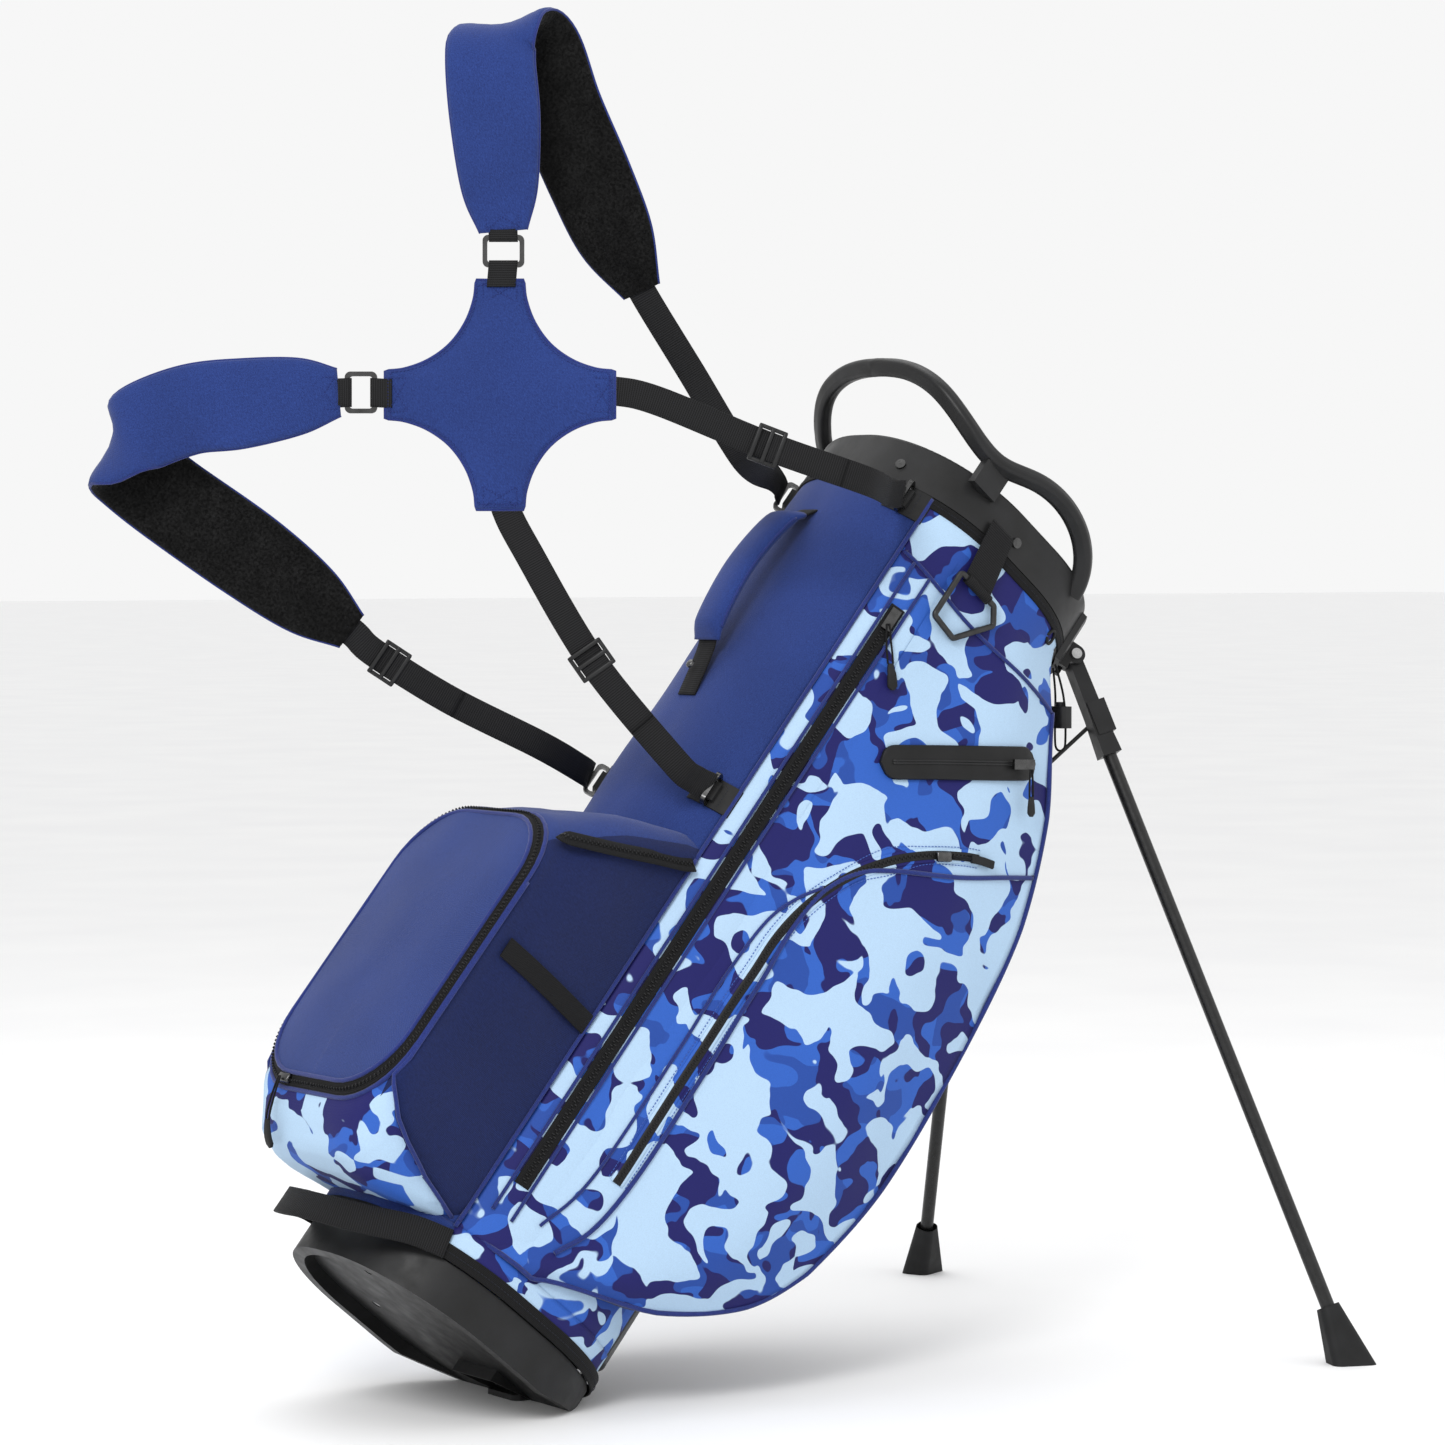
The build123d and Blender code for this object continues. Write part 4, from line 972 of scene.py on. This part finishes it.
# ---- harness
UPPER_PAD = (
    ((3, 141, 0), (1, 0, 0), 40, 6), ((0, 177, 3), (1, 0, 0), 64, 13), ((-4, 237, 5), (1, 0, 0), 76, 15),
    ((-8, 288, 5), (1, 0, 0), 76, 15), ((-5, 309, -5), (1, 0.05, 0), 76, 15),
    ((12, 317, -25), (0.95, 0.25, 0.1), 76, 15),
    ((31, 304, -42), (0.9, 0.4, 0.2), 76, 15), ((50, 253, -52), (0.85, 0.45, 0.3), 76, 15),
    ((76, 193, -62), (0.85, 0.45, 0.3), 76, 15), ((99, 141, -70), (0.85, 0.45, 0.3), 68, 13),
    ((121, 97, -80), (0.85, 0.45, 0.3), 34, 6),
)
LOWER_PAD = (
    ((-139, 2, 0), (0, 1, 0), 40, 6), ((-172, -1, 3), (0, 1, 0), 64, 13), ((-224, -8, 5), (0, 1, 0), 76, 15),
    ((-267, -13, 5), (0.1, 1, 0), 76, 15), ((-308, -28, 3), (0.25, 0.95, 0), 76, 15),
    ((-326, -42, -3), (0.35, 0.93, 0), 76, 15), ((-333, -50, -15), (0.42, 0.9, 0), 76, 15),
    ((-322, -62, -28), (0.5, 0.86, 0), 76, 15), ((-290, -88, -36), (0.58, 0.81, 0), 76, 15),
    ((-221, -137, -45), (0.61, 0.79, 0), 76, 15), ((-169, -176, -52), (0.61, 0.79, 0), 64, 13),
    ((-133, -203, -58), (0.61, 0.79, 0), 34, 6),
)


def harness_line(rows, step=4.0):
    """Smooth stations along harness rows: centre, width axis, outward axis, width, thickness."""
    keys = [Vector(r[0]) for r in rows]
    dense = spline(keys, 24)
    across = spline([Vector(r[1]).normalized() for r in rows], 24)
    sizes = spline([(r[2] if len(r) > 2 else WEB_WIDTH, r[3] if len(r) > 3 else WEB_THICK, 0)
                    for r in rows], 24)
    out = [tuple(line[i].lerp(line[i + 1], t) for line in (dense, across, sizes))
           for i, t in walk(dense, int(lengths(dense)[-1] / step))]
    places = [hung(*p) for p, _, _ in out]
    result = []
    for (p, a, size), place, run in zip(out, places, tangents(places)):
        x = facing(*a)
        x = (x - run * x.dot(run)).normalized()
        result.append((place, x, run, size.x, size.y))
    return result


def shoulder_pad(name, rows, flip, node):
    line = harness_line(rows)
    stations = []
    for place, x, run, width, thick in line:
        out = run.cross(x).normalized() * flip
        lump = wobble(place, 45, 1.1, 6.0) * 1000
        stations.append((place, x, out, crowned_profile(width, thick + lump * min(1, thick / 15), 3.4, 36)))
    count = 36
    pad = sweep(name, stations, [BLUE, FLEECE], slot="blue_fabric", replaces=[node],
                material_of=lambda i, j: 0 if j < count // 2 else 1)
    for k, side in enumerate((-1, 1)):
        edge = [p + x * side * w / 2000 for (p, x, out, _), (_, _, _, w, _) in zip(stations, line)]
        pipe(f"{name}_binding_{k}", edge, 1.3, PIPING)
    # stitched end tabs
    for k, index in enumerate((3, len(line) - 4)):
        place, x, run, width, thick = line[index]
        out = run.cross(x).normalized() * flip
        box_stitch(f"{name}_tab_{k}", place + out * (thick / 2 - 0.2) / 1000, x, run, out, 28, 18, PIPING)


shoulder_pad("upper_pad", UPPER_PAD, -1, "shoulder_pad_upper")
shoulder_pad("lower_pad", LOWER_PAD, -1, "shoulder_pad_lower")

STRAPS = {
    "strap_upper_far": (
        ((110, 121, -74), (0.85, 0.45, 0.3)), ((123, 94, -80), (0.85, 0.45, 0.3)),
        ((163, 29, -88), (0.85, 0.45, 0.3)), ((212, -50, -95), (0.7, 0.6, 0.3)),
        ((240, -58, -258), (0.2, 1, 0.1)), ((248, -70, -292), (0.2, 1, 0.1)),
    ),
    "strap_lower_far": (
        ((-155, -187, -54), (0.61, 0.79, 0)), ((-131, -205, -58), (0.61, 0.79, 0)),
        ((-113, -222, -60), (0.61, 0.79, 0)), ((-48, -263, -75), (0.5, 0.85, 0)),
        ((31, -303, -95), (0.45, 0.9, 0)), ((66, -325, -150), (0.3, 0.95, 0)),
        ((73, -331, -178), (0.3, 0.95, 0)),
    ),
    "strap_upper_near": (
        ((84, 1, -2.5), (0, 1, 0)), ((101, 3, -1), (0, 1, 0)), ((138, -6, 0), (0.2, 1, 0)),
        ((233, -45, 0), (0.35, 0.94, 0)), ((318, -74, -12), (0.3, 0.95, 0)),
        ((342, -79, -110), (0.2, 1, 0)), ((354, -78, -142), (0.2, 1, 0)),
    ),
    "strap_lower_near": (
        ((2, -84, -2.5), (1, 0.1, 0)), ((6, -101, -1), (1, 0.1, 0)), ((22, -132, 0), (0.9, 0.4, 0)),
        ((79, -229, 0), (0.86, 0.5, 0)), ((150, -316, -5), (0.8, 0.6, 0)),
        ((168, -332, -18), (0.65, 0.76, 0)), ((182, -339, -29), (0.6, 0.8, 0)),
    ),
}
for name, stations_in in STRAPS.items():
    line = harness_line(stations_in, 5.0)
    strap(f"{name}_webbing", [p for p, *_ in line], [x for _, x, *_ in line], 25.2, 2.0, WEBBING,
          slot="black_webbing",
          replaces=[name])

# hub: a padded star with four stitched tabs
QUADRANT = ((0, 99), (20.5, 99), (22.5, 82), (30, 62), (43.5, 43.5), (62, 30), (82, 22.5), (99, 20.5))
outline = []
for turn in range(4):
    points = [Vector((*QUADRANT[0], 0))] + spline([(*q, 0) for q in QUADRANT[1:]], 6)
    for q in points:
        a, b = q.x, q.y
        for _ in range(turn):
            a, b = b, -a
        outline.append((a, b))
hub_verts, hub_faces = [], []
levels = steps(0.04, 1, 12)
for side in (1, -1):
    for t in levels:
        height = side * (0.8 + 6.4 * (1 - t ** 3.2)) if t < 1 else side * 0.9
        for a, b in outline:
            reach = math.hypot(a, b) * t
            tab = 1 if reach < 74 else max(0.3, 1 - (reach - 74) / 14)
            p = hung(a * t * 0.999, b * t * 0.999, height * tab + side * (1 - tab) * 1.5)
            hub_verts.append(p)
count = len(outline)
for half_index in range(2):
    base = half_index * len(levels) * count
    for i in range(len(levels) - 1):
        for j in range(count):
            k = (j + 1) % count
            hub_faces.append((base + i * count + j, base + i * count + k, base + (i + 1) * count + k,
                              base + (i + 1) * count + j))
    hub_faces.append(tuple(base + j for j in range(count)))
for j in range(count):
    k = (j + 1) % count
    a, b = (len(levels) - 1) * count, (2 * len(levels) - 1) * count
    hub_faces.append((a + j, a + k, b + k, b + j))
plane_uv = [((p - HUB).dot(HUB_A), (p - HUB).dot(HUB_B)) for p in hub_verts]
hub = add_mesh("harness_hub_pad", hub_verts, hub_faces, BLUE, uvs=plane_uv, slot="blue_fabric",
               replaces=["harness_hub"])
for v in hub.data.vertices:
    v.co += HUB_C * wobble(v.co, 45, 1.0, 8.0)
hub_tree = tree_of(hub)


def on_hub(a, b, lift=0.2):
    hit, normal, _, _ = hub_tree.ray_cast(hung(a, b, 60), -HUB_C)
    return (hit if hit else hung(a, b, 2)) + HUB_C * lift / 1000


shrunk = [(a * 0.955, b * 0.955) for a, b in outline]
edge_stitch = [on_hub(a, b) for a, b in shrunk + shrunk[:1]]
stitches("hub_edge_stitch", edge_stitch, [HUB_C] * len(edge_stitch), PIPING, 3.4, 2.4, 0.42)
pipe("hub_binding", [hung(a, b, 0) for a, b in outline], 1.5, PIPING, closed=True)
for k in range(4):
    a, b = ((0, 88), (88, 0), (0, -88), (-88, 0))[k]
    x, y = (HUB_A, HUB_B) if k % 2 == 0 else (HUB_B, HUB_A)
    box_stitch(f"hub_tab_{k}", on_hub(a, b, 0.35), x, y, HUB_C, 29, 17, PIPING)


def keeper(name, start, end, across, normal, width=25.0):
    """Folded webbing from start round a ring bar at end."""
    run = (end - start).normalized()
    span = (end - start).length * 1000
    stations = []
    for t in steps(0, 1, 12):
        thick = 4.2 + 4.6 * t ** 2
        if t > 0.86:
            thick *= math.sqrt(max(0.05, 1 - ((t - 0.86) / 0.14) ** 2 * 0.9))
        stations.append((start + run * span * t / 1000, across, normal, flat_profile(width, thick)))
    return sweep(name, stations, WEBBING, slot="black_webbing")


for place, start, end, across in (("hub_top", (1, 93), (3, 116), HUB_A),
                                  ("pad_top", (2, 156), (3, 132), HUB_A),
                                  ("hub_side", (-93, 1), (-112, 2), HUB_B),
                                  ("pad_side", (-154, 1), (-128, 2), HUB_B)):
    keeper(f"ring_keeper_{place}", hung(*start, 1), hung(*end, 0), across, HUB_C)


def rounded_box(name, centre, x, y, z, size, bevel, mat, body="bag"):
    bm = bmesh.new()
    bmesh.ops.create_cube(bm, size=1)
    for v in bm.verts:
        v.co = Vector((v.co.x * size[0], v.co.y * size[1], v.co.z * size[2])) / 1000
    bmesh.ops.bevel(bm, geom=bm.edges[:], offset=bevel / 1000, segments=2, affect="EDGES", profile=0.6)
    for v in bm.verts:
        v.co = centre + x * v.co.x + y * v.co.y + z * v.co.z
    mesh = bpy.data.meshes.new(name)
    bm.to_mesh(mesh)
    bm.free()
    mesh.materials.append(mat)
    for polygon in mesh.polygons:
        polygon.use_smooth = True
    obj = bpy.data.objects.new(name, mesh)
    scene_root.objects.link(obj)
    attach(obj, body)
    return obj


def join(name, objects):
    """Merge several pieces on one body into one mesh."""
    bm = bmesh.new()
    for o in objects:
        bm.from_mesh(o.data)
    mesh = bpy.data.meshes.new(name)
    bm.to_mesh(mesh)
    bm.free()
    body = objects[0]["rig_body"]
    mesh.materials.append(objects[0].data.materials[0])
    for o in objects:
        bpy.data.objects.remove(o)
    obj = bpy.data.objects.new(name, mesh)
    scene_root.objects.link(obj)
    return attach(obj, body)


def triglide(name, strap_name, target):
    """Three-bar slide on a strap at the station nearest the target point."""
    line = harness_line(STRAPS[strap_name], 5.0)
    place, x, run, _, _ = min(line, key=lambda s: (s[0] - target).length)
    z = run.cross(x).normalized()
    if z.dot(HUB_C) < 0:
        z = -z
    y = z.cross(x).normalized()
    parts = []
    for k, side in enumerate((-1, 1)):
        parts.append(rounded_box(f"{name}_side_{k}", place + x * side * 0.0150 + z * 0.0012, x, y, z,
                                 (3.6, 26, 4.6), 1.2, SATIN))
    for k, shift in enumerate((-11.2, 0, 11.2)):
        parts.append(rounded_box(f"{name}_bar_{k}",
                                 place + y * shift / 1000 + z * (0.0030 if shift == 0 else 0.0028), x, y, z,
                                 (32, 3.8, 3.2), 1.1, SATIN))
    join(name, parts)
    # the free layer of webbing behind the slide, ending in a folded tail
    start = min(range(len(line)), key=lambda i: (line[i][0] - place).length)
    rear = line[start: min(len(line), start + 15)]
    strap(f"{name}_tail", [p + z * 0.0022 for p, *_ in rear], [a for _, a, *_ in rear], 25.0, 1.9, WEBBING,
          slot="black_webbing")


for tag, target in (("lower_far", (-100, -230, -62)), ("upper_near", (233, -45, 0)),
                    ("lower_near", (79, -229, 0))):
    triglide(f"triglide_{tag}", f"strap_{tag}", hung(*target))


# ---- zip pulls
body_tree = {tag: tree_of(sides[tag], pockets[tag], spine) for tag in ("right", "left")}


PULL_STEP, PULL_CLEAR, PULL_HALF_GAP = 0.003, 0.0042, 0.0025


def pull(name, start, tree, body, length=62.0):
    """Cord loop with a moulded end, hanging from start over the cloth."""
    down = Vector((0, 0, -1))
    points, p = [start], start
    for _ in range(int(length / 3)):
        step = p + down * PULL_STEP
        near, normal, _, _ = tree.find_nearest(step)
        out = normal if (start - near).dot(normal) >= 0 else -normal
        clear = (step - near).dot(out)
        if clear < PULL_CLEAR:
            step += out * (PULL_CLEAR - clear)
        points.append(step)
        p = step
    near, normal, _, _ = tree.find_nearest(points[0])
    build_pull(name, points, normal if (points[0] - near).dot(normal) >= 0 else -normal, body)


def build_pull(name, points, out, body):
    side = tangents(points)
    cut = int(len(points) * 0.58)
    widths = [0.4 + 0.6 * math.sin(math.pi * min(1, (i + 1) / cut) * 0.55) for i in range(cut + 1)]
    across = [out.cross(s).normalized() for s in side]
    left = [points[i] + across[i] * PULL_HALF_GAP * widths[i] for i in range(cut + 1)]
    right = [points[i] - across[i] * PULL_HALF_GAP * widths[i] for i in range(cut + 1)]
    pipe(f"{name}_cord", left[::-1] + right, 0.95, RIBBON, body=body)
    stations = []
    rest = points[cut:]
    for i, q in enumerate(rest):
        t = i / (len(rest) - 1)
        if t < 0.85:
            w = 5.0 + 4.0 * math.sin(min(1, t * 1.25) * math.pi / 2)
        else:
            w = 9.0 * math.sqrt(max(0.1, 1 - ((t - 0.85) / 0.16) ** 2))
        stations.append((q, across[cut + i], side[cut + i].cross(across[cut + i]), flat_profile(w, 3.6)))
    sweep(f"{name}_end", stations, RUBBER, body=body)


for tag, sign in SIDES:
    out = wall_out(ZIP_S * sign)
    pull(f"main_pull_{tag}", wall(ZIP_S * sign, 733, 7.0), body_tree[tag], f"main_slider_{tag}")
    low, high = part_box(f"dry_zip_slider_{tag}")
    centre = (low + high) / 2
    pull(f"dry_pull_{tag}", centre + V * (-0.003 * sign) + U * 0.008, body_tree[tag], f"dry_slider_{tag}", 42)
    points, normals = lay([(126, 622), (110, 615), (92, 604), (78, 594)], tag, 4.0)
    run = (points[-1] - points[-2]).normalized()
    rounded_box(f"pocket_slider_{tag}", points[-1], run, normals[-1].cross(run), normals[-1], (15, 9, 4.5),
                1.5,
                GUNMETAL)
    pipe(f"pocket_pull_cord_{tag}", points[: max(3, int(len(points) * 0.9))][::-1], 1.5, RIBBON)
    end = points[: int(len(points) * 0.5)]
    end_normals = normals[: len(end)]
    stations = [(p + n * 0.0005, n.cross(r).normalized(), n, flat_profile(7.5, 3.6))
                for p, n, r in zip(end, end_normals, tangents(end))]
    sweep(f"pocket_pull_end_{tag}", stations, RUBBER)

spot = at(-236.5, 42, 104)
rounded_box("ball_slider", spot, V, W, -U, (17, 8, 6), 1.8, GUNMETAL)
drop = even(spline([(u, w, 0) for u,
                    w in ((-242, 102), (-239, 92), (-235, 81), (-229, 68), (-219, 56), (-210, 50))], 6), 3.0)
build_pull("ball_pull", [at(q.x, 42, q.y) for q in drop], (U * -0.8 - W * 0.6).normalized(), "bag")

# ---- small trim
for tag, v in (("right", -1), ("left", 1)):
    pts = []
    for a, b in round_profile(6.5, 24):
        pts.append(skins[tag].find_nearest(at(80 + a, v * 110.4, 846 + b))[0] + V * v * 0.0014)
    pipe(f"eyelet_{tag}", pts, 1.5, RUBBER, closed=True)
rivet = at(-155.5, 0, 622)
disc = [V * a / 1000 + W * b / 1000 for a, b in round_profile(4.2, 20)]
rows = [[rivet + q * k - U * h / 1000 for q in disc]
        for k, h in ((0.02, 3.4), (0.5, 3.2), (0.85, 2.6), (1, 1.6), (1, 0))]
grid("grab_rivet", rows, GUNMETAL, closed=True)
# stitches on the strap patches
for w in (847, 514):
    for tag, v in (("right", -1), ("left", 1)):
        centre = at(-111.4, 82.6 * v, w)
        out = along(-0.77, 0.64 * v, 0).normalized()
        x = W.cross(out).normalized()
        ends = [centre + x * a / 1000 + W * b / 1000 + out * 0.0034
                for a, b in ((-11, -11), (11, -11), (11, 11), (-11, 11), (-11, -11))]
        stitches(f"patch_stitch_{tag}_{w}", ends, [out] * 5, DARK_THREAD, 3.0, 2.0, 0.3)

# ---- elastic cord
LOCK_RUN = along(0.638, 0, -0.77).normalized()
LOCK = at(148, -93, 806)
ROUTE = (
    at(118, -84, 840), at(131.5, -85, 827),
    LOCK - LOCK_RUN * 0.008 + V * 0.007, LOCK + LOCK_RUN * 0.017 + V * 0.0078,
    LOCK + LOCK_RUN * 0.031 + V * 0.0066, LOCK + LOCK_RUN * 0.031 - V * 0.0066,
    LOCK + LOCK_RUN * 0.017 - V * 0.0078, LOCK - LOCK_RUN * 0.008 - V * 0.007,
    at(127.5, -98.5, 826.5), at(110, -96, 838))
data = bpy.data.curves.new("elastic_cord_line", "CURVE")
data.dimensions = "3D"
data.bevel_depth = 0.00105
data.bevel_resolution = 4
data.resolution_u = 16
path = data.splines.new("NURBS")
path.points.add(len(ROUTE) - 1)
for point, q in zip(path.points, ROUTE):
    point.co = (*q, 1)
path.order_u = 3
path.use_endpoint_u = True
data.materials.append(RIBBON)
elastic = bpy.data.objects.new("elastic_cord_line", data)
scene_root.objects.link(elastic)
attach(elastic, "bag")
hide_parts("elastic_cord")
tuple(ROUTE[0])

# ---- stage
scene = bpy.context.scene
floor_material = Shader("pale_floor", Roughness=0.75)
floor_material.colour(floor_material.ramp(floor_material.noise(floor_material.space, 3, 2),
                                          (0.3, (0.90, 0.90, 0.905)),
                                          (0.7, (0.93, 0.93, 0.93))))
floor_mesh = bpy.data.meshes.new("floor")
floor_mesh.from_pydata([(-60, -60, 0), (60, -60, 0), (60, 60, 0), (-60, 60, 0)], [], [(0, 1, 2, 3)])
floor_mesh.materials.append(floor_material.material)
floor = bpy.data.objects.new("floor", floor_mesh)
scene.collection.objects.link(floor)
world = scene.world or bpy.data.worlds.new("studio")
scene.world = world
world.use_nodes = True
world.node_tree.nodes["Background"].inputs["Color"].default_value = (1, 1, 1, 1)
world.node_tree.nodes["Background"].inputs["Strength"].default_value = 0.93
TARGET = Vector((0.2540, 0.0414, 0.5807))
for name, place, size, power in (("key", (-1.9, -1.6, 2.4), 1.1, 52), ("fill", (2.4, -2.4, 1.5), 2.2, 6),
                                 ("top", (0.5, 0.9, 3.0), 2.0, 22)):
    data = bpy.data.lights.new(name, "AREA")
    data.size = size
    data.energy = power
    lamp = bpy.data.objects.new(name, data)
    lamp.location = place
    lamp.rotation_euler = (TARGET - Vector(place)).to_track_quat("-Z", "Y").to_euler()
    scene.collection.objects.link(lamp)
scene.view_settings.view_transform = "Standard"
BACK = HUB_C.normalized()
camera_data = bpy.data.cameras.new("photo_camera")
camera_data.lens = 109.67
camera_data.sensor_width = 36
camera_data.clip_end = 200
camera = bpy.data.objects.new("photo_camera", camera_data)
camera.location = TARGET + BACK * 4.0
camera.rotation_euler = (-BACK).to_track_quat("-Z", "Y").to_euler()
scene.collection.objects.link(camera)
scene.camera = camera
